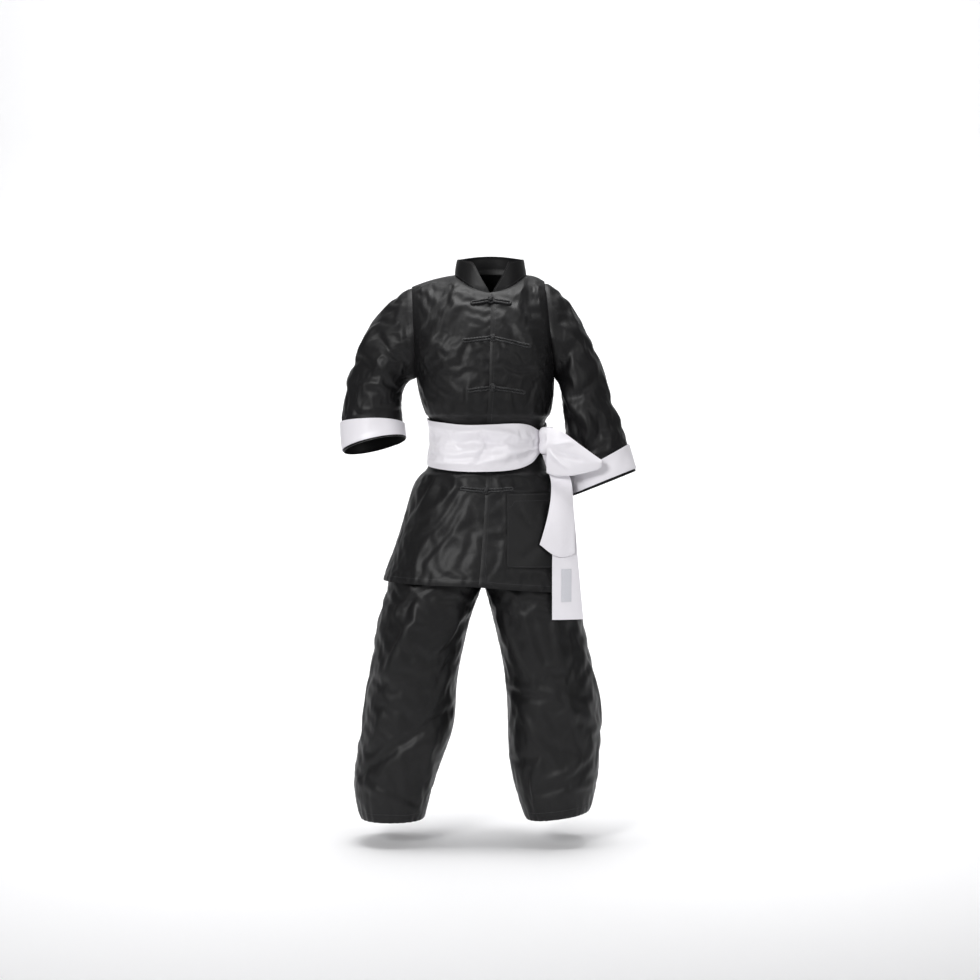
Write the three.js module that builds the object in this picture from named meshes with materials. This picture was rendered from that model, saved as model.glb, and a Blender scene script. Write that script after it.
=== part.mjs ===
// Tai chi uniform for a child of about 130 cm: a black satin jacket with a stand collar, frog
// fastenings and white turned-back cuffs, wide black satin trousers and a white satin sash.
// Millimetres, +Z up, the front faces -Y and +X is the wearer's left. The origin lies between the
// shoulders, at the base of the neck, where the wearer holds the garment up.
// The cloth keeps the hollow form of a general figure: one hand on the hip, the other arm down.
import * as THREE from "three";

// Cloth and seams
const CLOTH = 1.6; // thickness of a satin wall
const SEAM = 0.3; // clear width between two pieces at a seam
const QUARTER = Math.PI / 2;
const DEGREE = Math.PI / 180;
const TINY = 1e-9; // an area below this is none
const EDGE_SLACK = 1e-6; // a point on a triangle's edge counts as inside

// Levels of the jacket
const CHEST = -180; // underarm level, where the armholes start
const HEM = -556;
const HEM_TURN = -30; // where the hem's slope changes
const HEM_DROP = 0.09; // the hem hangs lower towards the wearer's left
const HEM_LIFT = 0.02; // and rises a little towards the right
const HEM_FADE = 30; // the slope starts this far above the pocket's lower edge
const SLIT_TOP = -450;
const SLIT_WIDTH = 6; // each edge's set-back at the hem
const SLIT_FROM = 0.72; // share of a panel's width that stays flat beside it
const MIDDLE = -95; // half way up the armhole
const WAIST_ROWS = [-345, -303, -262];
const POCKET_TOP = -388;
const POCKET_BOTTOM = -520;

// Level sections of the jacket below the underarm: reach to each side, depth to front and back
const BODY = [
  { z: -575, left: -201, right: 174, front: 131, back: 129 },
  { z: -556, left: -196, right: 169, front: 129, back: 127 },
  { z: -520, left: -184, right: 162, front: 125, back: 122 },
  { z: -480, left: -170, right: 154, front: 120, back: 117 },
  { z: -430, left: -155, right: 146, front: 115, back: 112 },
  { z: -388, left: -144, right: 138, front: 110, back: 106 },
  { z: -366, left: -135, right: 129, front: 104, back: 101 },
  { z: -345, left: -113, right: 112, front: 93, back: 90 },
  { z: -303, left: -107, right: 107, front: 90, back: 87 },
  { z: -262, left: -107, right: 108, front: 90, back: 87 },
  { z: -240, left: -119, right: 119, front: 102, back: 96 },
  { z: -212, left: -128, right: 123, front: 106, back: 102 },
  { z: -180, left: -134, right: 125, front: 107, back: 103 },
  { z: -150, left: -138, right: 126, front: 106, back: 102 },
];
const BODY_SQUARE = 2.3; // 2 is an ellipse, more is squarer
const MIDDLE_SECTION = { left: -149.5, right: 127.5, front: 100, back: 98 };
const MIDDLE_SQUARE = 2.6;

// The centre-front opening, where the wearer's left front lies over the right one
const OPENING = [
  { z: -575, x: -17 },
  { z: -556, x: -16 },
  { z: -400, x: -5 },
  { z: -256, x: -2 },
  { z: -200, x: 2 },
  { z: -107, x: 4 },
  { z: -17, x: 6 },
];
const LAP_DEPTH = 2.3; // how far the right front lies under the left one
const LAP_SHARE = 0.13; // width of the underlap, as a share of a front
const LAP_COLUMNS = [-0.01, 0.05]; // columns on both sides of the overlapping edge
const LAP_TURN = 0.06; // share over which the right front sinks under the left one

// Neck, shoulders and armholes
const NECK = { x: 5, y: 3, half: 68, front: 54, back: 50, frontZ: -19, sideZ: 15, backZ: 19 };
const NECK_SHARE = 0.44; // share of a panel's columns that ends at the neckline
const SHOULDER_ARCH = 3; // the shoulder seam's rise between neck and armhole
// How the cloth leaves the chest and meets the top edge: outwards or inwards, and upwards.
// The second value of each pair holds at the armhole, the middle one of three at the neck.
const YOKE = {
  armholeFrom: 0.78,
  leaveOut: [4, 70], leaveUp: [88, 14],
  neckIn: 0.15,
  arriveIn: [52, 118, 62], arriveUp: [70, 14, 6],
};
const ARMHOLES = {
  right: { side: -1, topX: -142, topY: 3, topZ: -7, depth: 55 },
  left: { side: 1, topX: 106, topY: 3, topZ: 3, depth: 55 },
};

// Collar
const COLLAR_TOP = { front: 41, side: 43, back: 51 }; // levels of the upper edge
const COLLAR_CLEAR = 0.8; // above the neckline, whose edge is straight from column to column
const COLLAR_CORNER = 4; // the front corners are rounded off by this much
const COLLAR_LEAN = 5; // the top edge stands this much closer to the neck
const COLLAR_GAP = 31 * DEGREE; // half of the V at the top, as an angle
const COLLAR_SEAM = 0.02; // half of the gap at its foot, in radians
const COLLAR_FLARE = 0.85; // below 1 the V opens faster at its foot
const COLLAR_STEPS = 26;
const COLLAR_RISES = [0, 0.33, 0.68, 1];
const COLLAR_ROUND = 2.5; // columns over which the front corners are rounded

// Columns from the front or back middle (0) to the side seam (1), and the levels of the rows
const PANEL_COLUMNS = [0, 0.07, 0.14, 0.25, 0.34, 0.43, 0.52, 0.61, 0.7, 0.78, 0.86, 0.93, 1];
const POCKET_COLUMNS = [2, 8]; // first and last column under the pocket
const PANEL_LEVELS = [
  HEM, -540, POCKET_BOTTOM, -490, -458, -424, POCKET_TOP, -366,
  ...WAIST_ROWS, -240, -212, CHEST,
];
const YOKE_STEPS = 8; // rows from the underarm to the shoulder seam
const FOLD_ROWS = 3; // rows below the top edge over which folds fade out

// Sleeves: the cuff's opening, with the direction to its outer edge, to its front and out of it
const SLEEVES = {
  right: {
    armhole: ARMHOLES.right,
    centre: [-212, -2, -303], outward: [-0.975, 0, -0.225], forward: [0, -0.956, 0.292],
    along: [0.2, -0.28, -0.94], half: 61, depth: 46,
    leaveUnder: [-114, 0, -12], leaveOuter: [-330, 0, -150], arriveUnder: 120, arriveOuter: 230,
  },
  left: {
    armhole: ARMHOLES.left,
    centre: [218, -10, -374], outward: [0.93, 0, 0.37], forward: [0, -0.996, 0.087],
    along: [0.36, -0.05, -0.93], half: 65, depth: 48,
    leaveUnder: [95, 0, -80], leaveOuter: [250, 0, -80], arriveUnder: 210, arriveOuter: 290,
  },
};
const ARMHOLE_SEAM = SEAM + 0.1; // clear width between a sleeve and its armhole
const SLEEVE_COLUMNS = 26;
const SLEEVE_STEPS = [0, 0.08, 0.17, 0.27, 0.37, 0.47, 0.57, 0.67, 0.76];
const CUFF_STEPS = [0.8, 0.86, 0.92, 0.985];
const CUFF_STARTS = { right: 0.8, left: 0.85 };
const CUFF_FLARE = 1.5; // the cuff stands off a little more at its top edge
const SLEEVE_FADE = { rows: 2.5, cuff: 0.12, sides: 22 }; // where its folds fade out

// Trouser legs: level sections, with the reach to each side and the depth to front and back
const LEGS = {
  right: {
    side: -1,
    sections: [
      { z: -1003, left: -240, right: -119, front: 76, back: 80, y: 2 },
      { z: -963, left: -252, right: -110, front: 80, back: 84, y: 2 },
      { z: -923, left: -253, right: -97, front: 84, back: 87, y: 1 },
      { z: -880, left: -246, right: -80, front: 87, back: 88, y: 0 },
      { z: -836, left: -238, right: -64, front: 88, back: 89, y: 0 },
      { z: -785, left: -230, right: -59, front: 89, back: 90, y: 0 },
      { z: -740, left: -223, right: -58, front: 90, back: 91, y: 0 },
      { z: -690, left: -216, right: -47, front: 91, back: 92, y: 0 },
      { z: -625, left: -206, right: -33, front: 92, back: 94, y: 0 },
      { z: -580, left: -191, right: -15, front: 92, back: 95, y: 0 },
      { z: -556, left: -186, right: -8.2, front: 92, back: 95, y: 0 },
    ],
  },
  left: {
    side: 1,
    sections: [
      { z: -1001, left: 70, right: 192, front: 76, back: 80, y: -4 },
      { z: -979, left: 62, right: 197, front: 79, back: 82, y: -3 },
      { z: -940, left: 50, right: 204, front: 84, back: 86, y: -2 },
      { z: -899, left: 40, right: 209, front: 87, back: 88, y: -1 },
      { z: -832, left: 37, right: 213, front: 89, back: 89, y: 0 },
      { z: -755, left: 34, right: 204, front: 90, back: 91, y: 0 },
      { z: -689, left: 24, right: 191, front: 91, back: 92, y: 0 },
      { z: -622, left: 8, right: 177, front: 92, back: 94, y: 0 },
      { z: -580, left: -3, right: 167, front: 92, back: 95, y: 0 },
      { z: -556, left: -7.8, right: 161, front: 92, back: 95, y: 0 },
    ],
  },
};
const LEG_SQUARE = 2.25;
const LEG_COLUMNS = 28;
const CROTCH = -556;
const CROTCH_X = -8;
const LEG_LEVELS = [
  -1002, -976, -945, -910, -872, -834, -795, -758, -720, -680, -640, -604, -578,
  CROTCH, -515, -470, -410, -331,
];
const HEM_RISE = 0.13; // the wearer's left hem rises towards the outside
const HEM_RISE_TOP = -960; // from here down
const HEM_RISE_FADE = 42;
// Seat of the trousers above the crotch, inside the jacket
const SEAT = [
  { z: -556, left: -186, right: 161, front: 92, back: 95 },
  { z: -520, left: -170, right: 149, front: 98, back: 100 },
  { z: -470, left: -151, right: 138, front: 104, back: 103 },
  { z: -420, left: -136, right: 127, front: 99, back: 98 },
  { z: -372, left: -113, right: 109, front: 87, back: 87 },
  { z: -331, left: -103.5, right: 103.5, front: 85.5, back: 82.5 },
];
const SEAT_FULL = -470; // the two legs' sheets form one seat above this level
// The legs' folds fade out over some columns at the inseam, below the crotch and above the hem.
const LEG_FADE = { columns: 3, top: -566, topFade: 30, hem: -1003, hemFade: 12, sides: 26 };
const WAISTBAND_LEVELS = [-330.7, -314, -297];
const WAISTBAND_INSET = 4.9; // inside the jacket and its underlap
const WAISTBAND_WALL = 2; // drawn-in cloth is thicker

// Sash: top and bottom edge round the waist, in degrees from the wearer's left side
const KNOT_ANGLE = -30 * DEGREE;
const SASH_EDGES = [
  { angle: -180, top: -252, bottom: -338 },
  { angle: -140, top: -258, bottom: -345 },
  { angle: -110, top: -263, bottom: -349 },
  { angle: -90, top: -262, bottom: -349 },
  { angle: -70, top: -260, bottom: -346 },
  { angle: -56, top: -261, bottom: -340 },
  { angle: -42, top: -267, bottom: -330 },
  { angle: -30, top: -276, bottom: -313 },
  { angle: -16, top: -271, bottom: -322 },
  { angle: 10, top: -261, bottom: -337 },
  { angle: 60, top: -254, bottom: -342 },
  { angle: 90, top: -252, bottom: -342 },
  { angle: 140, top: -252, bottom: -340 },
  { angle: 180, top: -252, bottom: -338 },
];
const SASH_STEPS = 5;
const SASH_MIDDLE = -302; // the jacket lies smooth this far above and below it
const SASH_FREE = 57;
const SASH_FADE = 20; // its folds then grow over this height
const SASH_CLEAR = 0.9; // off the jacket
const SASH_WALL = 2; // two turns of satin
const SASH_KNOT_CLEAR = 10; // degrees beside the knot where the sash lies smooth
const SASH_KNOT_FADE = 20;
const SASH_SPAN = [0.12, 0.88]; // the folds are lowest at the sash's two edges
const SASH_FOLDS = [
  { from: -150, rise: 46, width: 16, height: 3.5 },
  { from: -118, rise: -38, width: 13, height: 4.5 },
  { from: -96, rise: 52, width: 15, height: 3.5 },
  { from: -66, rise: -30, width: 14, height: 4 },
  { from: 30, rise: 40, width: 18, height: 3.5 },
  { from: 75, rise: -44, width: 16, height: 4 },
  { from: 120, rise: 38, width: 18, height: 3.5 },
];

// Knot: sections up its height, across and through
const KNOT_SECTIONS = [
  { z: -318, half: 12, through: 10.5 },
  { z: -312, half: 16, through: 13.5 },
  { z: -303, half: 16.5, through: 14 },
  { z: -293, half: 13.5, through: 12.5 },
  { z: -283, half: 16.5, through: 14 },
  { z: -273, half: 16, through: 13.5 },
  { z: -267, half: 11, through: 9.5 },
];
const KNOT_COLUMNS = 16;
const KNOT_CLEAR = 0.6; // off the sash
const KNOT_TURN = 0.02; // angle over which the sash's direction at the knot is taken
const KNOT_POWER = 0.8; // below 1 its rings are squarer than an ellipse

// Bow loop: from the knot to its tip, top and bottom edge, and how deep the roll at the bottom is
const LOOP_SECTIONS = [
  { x: 108, top: -268, bottom: -352, front: -75.8, roll: 4, behind: 0.3 },
  { x: 120, top: -268, bottom: -358, front: -78.6, roll: 5, behind: 0.36 },
  { x: 132, top: -271, bottom: -359, front: -83, roll: 6, behind: 0.42 },
  { x: 150, top: -284, bottom: -357, front: -86, roll: 7, behind: 0.5 },
  { x: 168, top: -298, bottom: -354, front: -87, roll: 7, behind: 0.6 },
  { x: 186, top: -311, bottom: -351, front: -87, roll: 7, behind: 0.7 },
  { x: 200, top: -321, bottom: -347, front: -86, roll: 6, behind: 0.75 },
  { x: 209, top: -327, bottom: -341, front: -84, roll: 5, behind: 0.8 },
];

// Tails of the sash: both edges down the length
const LOOP_DOWN = [0, 0.25, 0.5, 0.75, 1]; // shares of the way down its front
const LOOP_TURNS = [0.25, 0.5, 0.75, 1]; // shares of the turn at its lower edge
const LOOP_UP = [0.5, 1]; // shares of the way up behind
const LOOP_BULGE = 4; // its front curves forward
const LOOP_BULGE_SPAN = 0.8;

const TAIL_SHORT = [
  { z: -318.4, leftX: 101, leftY: -65, rightX: 119, rightY: -58 },
  { z: -338, leftX: 107, leftY: -62, rightX: 140, rightY: -56 },
  { z: -360, leftX: 116, leftY: -65, rightX: 153, rightY: -58 },
  { z: -376, leftX: 117, leftY: -76, rightX: 156, rightY: -66 },
  { z: -400, leftX: 116, leftY: -89, rightX: 157, rightY: -75 },
  { z: -440, leftX: 108, leftY: -104, rightX: 160, rightY: -83 },
  { z: -490, leftX: 95, leftY: -111, rightX: 160, rightY: -90 },
];
const TAIL_SHORT_END = [9, 0, -9, -14, -16, -13, -9]; // slanted end, left to right
const TAIL_LONG = [
  { z: -318.4, leftX: 102, leftY: -57, rightX: 118, rightY: -50 },
  { z: -338, leftX: 109, leftY: -53, rightX: 138, rightY: -47 },
  { z: -360, leftX: 119, leftY: -56, rightX: 150, rightY: -49 },
  { z: -380, leftX: 121, leftY: -68, rightX: 155, rightY: -57 },
  { z: -410, leftX: 121, leftY: -80, rightX: 158, rightY: -66 },
  { z: -460, leftX: 119, leftY: -93, rightX: 162, rightY: -77 },
  { z: -510, leftX: 118, leftY: -101, rightX: 166, rightY: -85 },
  { z: -565, leftX: 118, leftY: -104, rightX: 171, rightY: -90 },
  { z: -620, leftX: 118, leftY: -105, rightX: 176, rightY: -92 },
];
const TAIL_COLUMNS = 6;
const TAIL_BULGE = 3; // the tails curve forward between their edges
const TAIL_FREE = -330; // below this level, growing over the fade
const TAIL_FADE = 40;
const LABEL = { x0: 135, x1: 153, top: -527, bottom: -587, thick: 0.8, clear: 0.45 };

// Frog fastenings: the knob, and the ends of the cord loops on each front
const FROGS = [
  { name: "neck", knobX: 6, knobZ: -34, leftX: -30, leftZ: -40, rightX: 42, rightZ: -40 },
  { name: "chest_upper", knobX: 9, knobZ: -104, leftX: -46, leftZ: -109, rightX: 77, rightZ: -119 },
  { name: "chest_lower", knobX: 9, knobZ: -194, leftX: -36, leftZ: -200, rightX: 67, rightZ: -203 },
  { name: "hip", knobX: -3, knobZ: -383, leftX: -50, leftZ: -379, rightX: 45, rightZ: -380 },
];
const KNOB_RADIUS = 6;
const KNOB_COLUMNS = 9;
const FROG_WIDTH = 8.5;
const FROG_HEIGHT = 3.2;
const FROG_STEPS = 5;
const FROG_SIDES = 6;
const FROG_CLEAR = 0.45;
const FROG_START = 6; // each doubled cord starts this far from the knob's middle
const FROG_POWER = 0.7; // below 1 a cord's section is squarer than an ellipse
const KNOB_HEIGHTS = [-1, -0.8, -0.3, 0.3, 0.8, 1];
const KNOB_END = 0.25; // radius of its flat ends, as a share of the knob's

// Largest folds, as lines across the front view: a ridge has height above 0, a valley below 0.
// The columns are the two ends, the sideways bow of the line, and the fold's width and height.
const FOLD_ENDS = 0.25; // share of a fold's length over which each end fades out
const FRONT_FOLDS = [
  { x0: -50, z0: -362, x1: -150, z1: -458, bow: -18, width: 17, height: 6 },
  { x0: -62, z0: -360, x1: -168, z1: -418, bow: -14, width: 13, height: -5 },
  { x0: -34, z0: -372, x1: -120, z1: -510, bow: -26, width: 16, height: -4.5 },
  { x0: -40, z0: -190, x1: -38, z1: -268, bow: 2, width: 9, height: 4 },
  { x0: -62, z0: -60, x1: -118, z1: -165, bow: 10, width: 18, height: 4 },
  { x0: 48, z0: -60, x1: 98, z1: -170, bow: -10, width: 18, height: 3.5 },
  { x0: 76, z0: -222, x1: 72, z1: -270, bow: 0, width: 11, height: 4 },
  { x0: -88, z0: -214, x1: -84, z1: -268, bow: 0, width: 11, height: 4 },
  { x0: 100, z0: -410, x1: 128, z1: -548, bow: 0, width: 18, height: 4.5 },
];
const BACK_FOLDS = [
  { x0: -96, z0: -170, x1: 84, z1: -150, bow: 26, width: 20, height: 5 },
  { x0: -70, z0: -212, x1: -64, z1: -268, bow: 0, width: 12, height: 5 },
  { x0: -12, z0: -205, x1: -8, z1: -268, bow: 0, width: 12, height: 5 },
  { x0: 52, z0: -212, x1: 48, z1: -268, bow: 0, width: 12, height: 5 },
  { x0: -58, z0: -360, x1: -92, z1: -548, bow: -8, width: 17, height: 6 },
  { x0: 2, z0: -366, x1: 4, z1: -548, bow: 6, width: 16, height: 5.5 },
  { x0: 60, z0: -360, x1: 88, z1: -548, bow: 8, width: 17, height: 6 },
];
const SLEEVE_FOLDS = {
  right: [
    { x0: -192, z0: -62, x1: -228, z1: -132, bow: 16, width: 14, height: 6, both: 1 },
    { x0: -205, z0: -96, x1: -153, z1: -148, bow: -10, width: 12, height: -6.5, both: 1 },
    { x0: -245, z0: -126, x1: -172, z1: -206, bow: 12, width: 13, height: -6, both: 1 },
    { x0: -228, z0: -186, x1: -180, z1: -214, bow: -18, width: 13, height: 6, both: 0 },
    { x0: -153, z0: -56, x1: -143, z1: -128, bow: 0, width: 11, height: -5, both: 1 },
  ],
  left: [
    { x0: 160, z0: -104, x1: 128, z1: -178, bow: 4, width: 14, height: -6, both: 1 },
    { x0: 129, z0: -181, x1: 174, z1: -262, bow: 12, width: 13, height: 5.5, both: 1 },
    { x0: 182, z0: -228, x1: 184, z1: -312, bow: 0, width: 12, height: 4.5, both: 0 },
    { x0: 150, z0: -60, x1: 196, z1: -150, bow: -8, width: 15, height: 5, both: 1 },
  ],
};
const LEG_FOLDS = {
  right: [
    { x0: -127, z0: -585, x1: -200, z1: -750, bow: -10, width: 17, height: 6, both: 1 },
    { x0: -62, z0: -789, x1: -165, z1: -855, bow: 10, width: 16, height: -6.5, both: 1 },
    { x0: -165, z0: -855, x1: -250, z1: -922, bow: 10, width: 15, height: -5, both: 0 },
    { x0: -222, z0: -933, x1: -120, z1: -989, bow: 8, width: 14, height: 6.5, both: 1 },
    { x0: -212, z0: -960, x1: -133, z1: -998, bow: 6, width: 10, height: -4, both: 0 },
  ],
  left: [
    { x0: 36, z0: -761, x1: 107, z1: -769, bow: 6, width: 12, height: -4.5, both: 1 },
    { x0: 140, z0: -752, x1: 161, z1: -819, bow: 0, width: 14, height: 6, both: 1 },
    { x0: 190, z0: -849, x1: 77, z1: -952, bow: 20, width: 16, height: -6.5, both: 1 },
    { x0: 60, z0: -905, x1: 190, z1: -925, bow: -16, width: 14, height: 5.5, both: 0 },
    { x0: 70, z0: -590, x1: 118, z1: -720, bow: 8, width: 18, height: 5, both: 1 },
  ],
};

// Finishes
function blackSatin() {
  return new THREE.MeshStandardMaterial({ color: 0x17181b, roughness: 0.42, metalness: 0 });
}

function whiteSatin() {
  return new THREE.MeshStandardMaterial({ color: 0xe9eaf0, roughness: 0.38, metalness: 0 });
}

function blackCord() {
  return new THREE.MeshStandardMaterial({ color: 0x0f1012, roughness: 0.62, metalness: 0 });
}

function greyLabel() {
  return new THREE.MeshStandardMaterial({ color: 0xc9cad0, roughness: 0.7, metalness: 0 });
}

// Small helpers
function mix(a, b, share) {
  return a + (b - a) * share;
}

function smooth(share) {
  const held = Math.min(Math.max(share, 0), 1);
  return held * held * (3 - 2 * held);
}

function vector([x, y, z]) {
  return new THREE.Vector3(x, y, z);
}

// A row of the table at a value of its key column, on a smooth curve through the rows.
function rowAt(table, key, value) {
  const rising = table[0][key] < table[table.length - 1][key];
  const rows = rising ? table : [...table].reverse();
  const last = rows.length - 1;
  const held = Math.min(Math.max(value, rows[0][key]), rows[last][key]);
  let at = 0;
  while (at < last - 1 && rows[at + 1][key] < held) at += 1;
  const before = rows[Math.max(at - 1, 0)];
  const low = rows[at];
  const high = rows[at + 1];
  const after = rows[Math.min(at + 2, last)];
  const span = high[key] - low[key];
  const share = (held - low[key]) / span;
  const found = { [key]: value };
  for (const column of Object.keys(low)) {
    if (column === key) continue;
    const leave = ((high[column] - before[column]) / (high[key] - before[key])) * span;
    const arrive = ((after[column] - low[column]) / (after[key] - low[key])) * span;
    found[column] = hermite(low[column], leave, high[column], arrive, share);
  }
  return found;
}

function hermite(start, leave, end, arrive, share) {
  const square = share * share;
  const cube = square * share;
  return (
    start * (2 * cube - 3 * square + 1) +
    leave * (cube - 2 * square + share) +
    end * (3 * square - 2 * cube) +
    arrive * (cube - square)
  );
}

function hermitePoint(start, leave, end, arrive, share) {
  return new THREE.Vector3(
    hermite(start.x, leave.x, end.x, arrive.x, share),
    hermite(start.y, leave.y, end.y, arrive.y, share),
    hermite(start.z, leave.z, end.z, arrive.z, share),
  );
}

function signedPower(value, power) {
  return Math.sign(value) * Math.abs(value) ** power;
}

// A point of a rounded level section. Angle 0 is the wearer's left, -90 degrees the front.
function sectionPoint(section, square, angle, z) {
  const power = 2 / square;
  const sine = Math.sin(angle);
  const depth = sine < 0 ? section.front : section.back;
  return new THREE.Vector3(
    (section.left + section.right) / 2 +
      ((section.right - section.left) / 2) * signedPower(Math.cos(angle), power),
    (section.y ?? 0) + depth * signedPower(sine, power),
    z,
  );
}

// Height of all folds of a table at a place in the front view.
function foldHeight(folds, x, z) {
  let height = 0;
  for (const fold of folds) {
    const alongX = fold.x1 - fold.x0;
    const alongZ = fold.z1 - fold.z0;
    const length = Math.hypot(alongX, alongZ);
    const share = ((x - fold.x0) * alongX + (z - fold.z0) * alongZ) / (length * length);
    const across = ((x - fold.x0) * alongZ - (z - fold.z0) * alongX) / length;
    const bowed = across - fold.bow * 4 * share * (1 - share);
    const ends = smooth(share / FOLD_ENDS) * smooth((1 - share) / FOLD_ENDS);
    height += fold.height * ends * Math.exp(-((bowed / fold.width) ** 2));
  }
  return height;
}

// Normals of a grid of points, rows by columns, from its neighbours.
function gridNormals(grid, closed) {
  const rows = grid.length;
  const columns = grid[0].length;
  return grid.map((line, r) =>
    line.map((point, c) => {
      const next = closed ? line[(c + 1) % columns] : line[Math.min(c + 1, columns - 1)];
      const previous = closed ? line[(c + columns - 1) % columns] : line[Math.max(c - 1, 0)];
      const across = next.clone().sub(previous);
      const along = grid[Math.min(r + 1, rows - 1)][c].clone().sub(grid[Math.max(r - 1, 0)][c]);
      return across.cross(along).normalize();
    }),
  );
}

function movedOut(grid, normals, distance) {
  return grid.map((line, r) =>
    line.map((point, c) => {
      const amount = typeof distance === "function" ? distance(point, r, c) : distance;
      return point.clone().addScaledVector(normals[r][c], amount);
    }),
  );
}

// A closed geometry from points and the corners of its faces.
function closedGeometry(points, quads, triangles = []) {
  const index = [...triangles];
  for (const [a, b, c, d] of quads) index.push(a, b, c, a, c, d);
  const geometry = new THREE.BufferGeometry();
  geometry.setAttribute(
    "position",
    new THREE.Float32BufferAttribute(points.flatMap((point) => [point.x, point.y, point.z]), 3),
  );
  geometry.setIndex(index);
  geometry.computeVertexNormals();
  return geometry;
}

// A cloth wall: the grid is its outer face and the wall goes inwards from it. The columns turn
// anticlockwise seen from above and the rows rise, so that the outer face points outwards.
function clothWall(grid, { thickness = CLOTH, closed = false, rim = null } = {}) {
  const rows = grid.length;
  const columns = grid[0].length;
  const normals = gridNormals(grid, closed);
  if (rim) {
    normals.forEach((line, r) => line.forEach((normal, c) => rim(normal, r, c, rows, columns)));
  }
  const inner = movedOut(grid, normals, -thickness);
  const points = [...grid.flat(), ...inner.flat()];
  const out = (r, c) => r * columns + (c % columns);
  const inside = (r, c) => rows * columns + out(r, c);
  const quads = [];
  const lastColumn = closed ? columns : columns - 1;
  for (let c = 0; c < lastColumn; c += 1) {
    for (let r = 0; r < rows - 1; r += 1) {
      quads.push([out(r, c), out(r, c + 1), out(r + 1, c + 1), out(r + 1, c)]);
      quads.push([inside(r, c), inside(r + 1, c), inside(r + 1, c + 1), inside(r, c + 1)]);
    }
    const top = rows - 1;
    quads.push([inside(0, c), inside(0, c + 1), out(0, c + 1), out(0, c)]);
    quads.push([out(top, c), out(top, c + 1), inside(top, c + 1), inside(top, c)]);
  }
  if (!closed) {
    const end = columns - 1;
    for (let r = 0; r < rows - 1; r += 1) {
      quads.push([out(r, 0), out(r + 1, 0), inside(r + 1, 0), inside(r, 0)]);
      quads.push([out(r, end), inside(r, end), inside(r + 1, end), out(r + 1, end)]);
    }
  }
  return closedGeometry(points, quads);
}

// A solid through closed rings of equal count, with flat ends.
function ringSolid(rings) {
  const count = rings[0].length;
  const points = rings.flat();
  const quads = [];
  for (let r = 0; r < rings.length - 1; r += 1) {
    for (let c = 0; c < count; c += 1) {
      const next = (c + 1) % count;
      quads.push([r * count + c, r * count + next, (r + 1) * count + next, (r + 1) * count + c]);
    }
  }
  const triangles = [];
  const last = (rings.length - 1) * count;
  for (let c = 1; c < count - 1; c += 1) {
    triangles.push(0, c + 1, c);
    triangles.push(last, last + c, last + c + 1);
  }
  return closedGeometry(points, quads, triangles);
}

function piece(name, geometry, finish) {
  const mesh = new THREE.Mesh(geometry, finish());
  mesh.name = name;
  return mesh;
}

// Jacket body
function openingX(z) {
  return rowAt(OPENING, "z", z).x;
}

function hemLevel(x) {
  return HEM - HEM_DROP * Math.max(x - HEM_TURN, 0) + HEM_LIFT * Math.max(HEM_TURN - x, 0);
}

// The angle of the front opening on a section.
function openingAngle(section, square, z) {
  const middle = (section.left + section.right) / 2;
  const half = (section.right - section.left) / 2;
  return -Math.acos(signedPower((openingX(z) - middle) / half, square / 2));
}

// A quarter of the body is named by its side (-1 the wearer's right) and face (-1 the front).
function quarterAngle(section, square, z, { side, face }, share, edge) {
  const middle = face < 0 ? openingAngle(section, square, z) : QUARTER;
  const seam = side > 0 ? 0 : Math.PI * face;
  const end = seam + (side > 0 ? face : -face) * edge;
  return mix(middle, end, share);
}

function bodySection(z) {
  return rowAt(BODY, "z", z);
}

// The body's section as the wall has it: straight from one row of the panels to the next.
function wallSection(z) {
  let row = 0;
  while (row < PANEL_LEVELS.length - 2 && PANEL_LEVELS[row + 1] < z) row += 1;
  const low = bodySection(PANEL_LEVELS[row]);
  const high = bodySection(PANEL_LEVELS[row + 1]);
  const share = (z - low.z) / (high.z - low.z);
  const found = { z };
  for (const column of ["left", "right", "front", "back"]) {
    found[column] = mix(low[column], high[column], share);
  }
  return found;
}

// The body below the underarm at a share of the way from the middle to the side seam.
function skirtPoint(quarter, share, level) {
  const section = bodySection(level);
  const angle = quarterAngle(section, BODY_SQUARE, level, quarter, share, 0);
  const point = sectionPoint(section, BODY_SQUARE, angle, level);
  const drop = smooth((POCKET_BOTTOM - level + HEM_FADE) / (POCKET_BOTTOM - HEM + HEM_FADE));
  point.z += (hemLevel(point.x) - HEM) * drop;
  const beside = smooth((share - SLIT_FROM) / (1 - SLIT_FROM));
  const slit = smooth((SLIT_TOP - level) / (SLIT_TOP - HEM)) * beside;
  point.y += quarter.face * slit * SLIT_WIDTH;
  return point;
}

function neckPoint(angle, rise = 0) {
  const sine = Math.sin(angle);
  const depth = sine < 0 ? NECK.front : NECK.back;
  const end = sine < 0 ? NECK.frontZ : NECK.backZ;
  return new THREE.Vector3(
    NECK.x + NECK.half * Math.cos(angle),
    NECK.y + depth * sine,
    mix(NECK.sideZ, end, sine * sine) + rise,
  );
}

function neckOpeningAngle() {
  return -Math.acos((openingX(NECK.frontZ) - NECK.x) / NECK.half);
}

// The top edge of a quarter: along the neckline, then along the shoulder seam.
function topEdge(quarter, share) {
  const armhole = quarter.side < 0 ? ARMHOLES.right : ARMHOLES.left;
  const middle = quarter.face < 0 ? neckOpeningAngle() : QUARTER;
  const seam = quarter.side > 0 ? 0 : Math.PI * quarter.face;
  if (share <= NECK_SHARE) return neckPoint(mix(middle, seam, share / NECK_SHARE));
  const along = (share - NECK_SHARE) / (1 - NECK_SHARE);
  const neck = neckPoint(seam);
  const tip = new THREE.Vector3(armhole.topX, armhole.topY, armhole.topZ);
  const point = neck.lerp(tip, along);
  point.z += SHOULDER_ARCH * Math.sin(Math.PI * along);
  return point;
}

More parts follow.
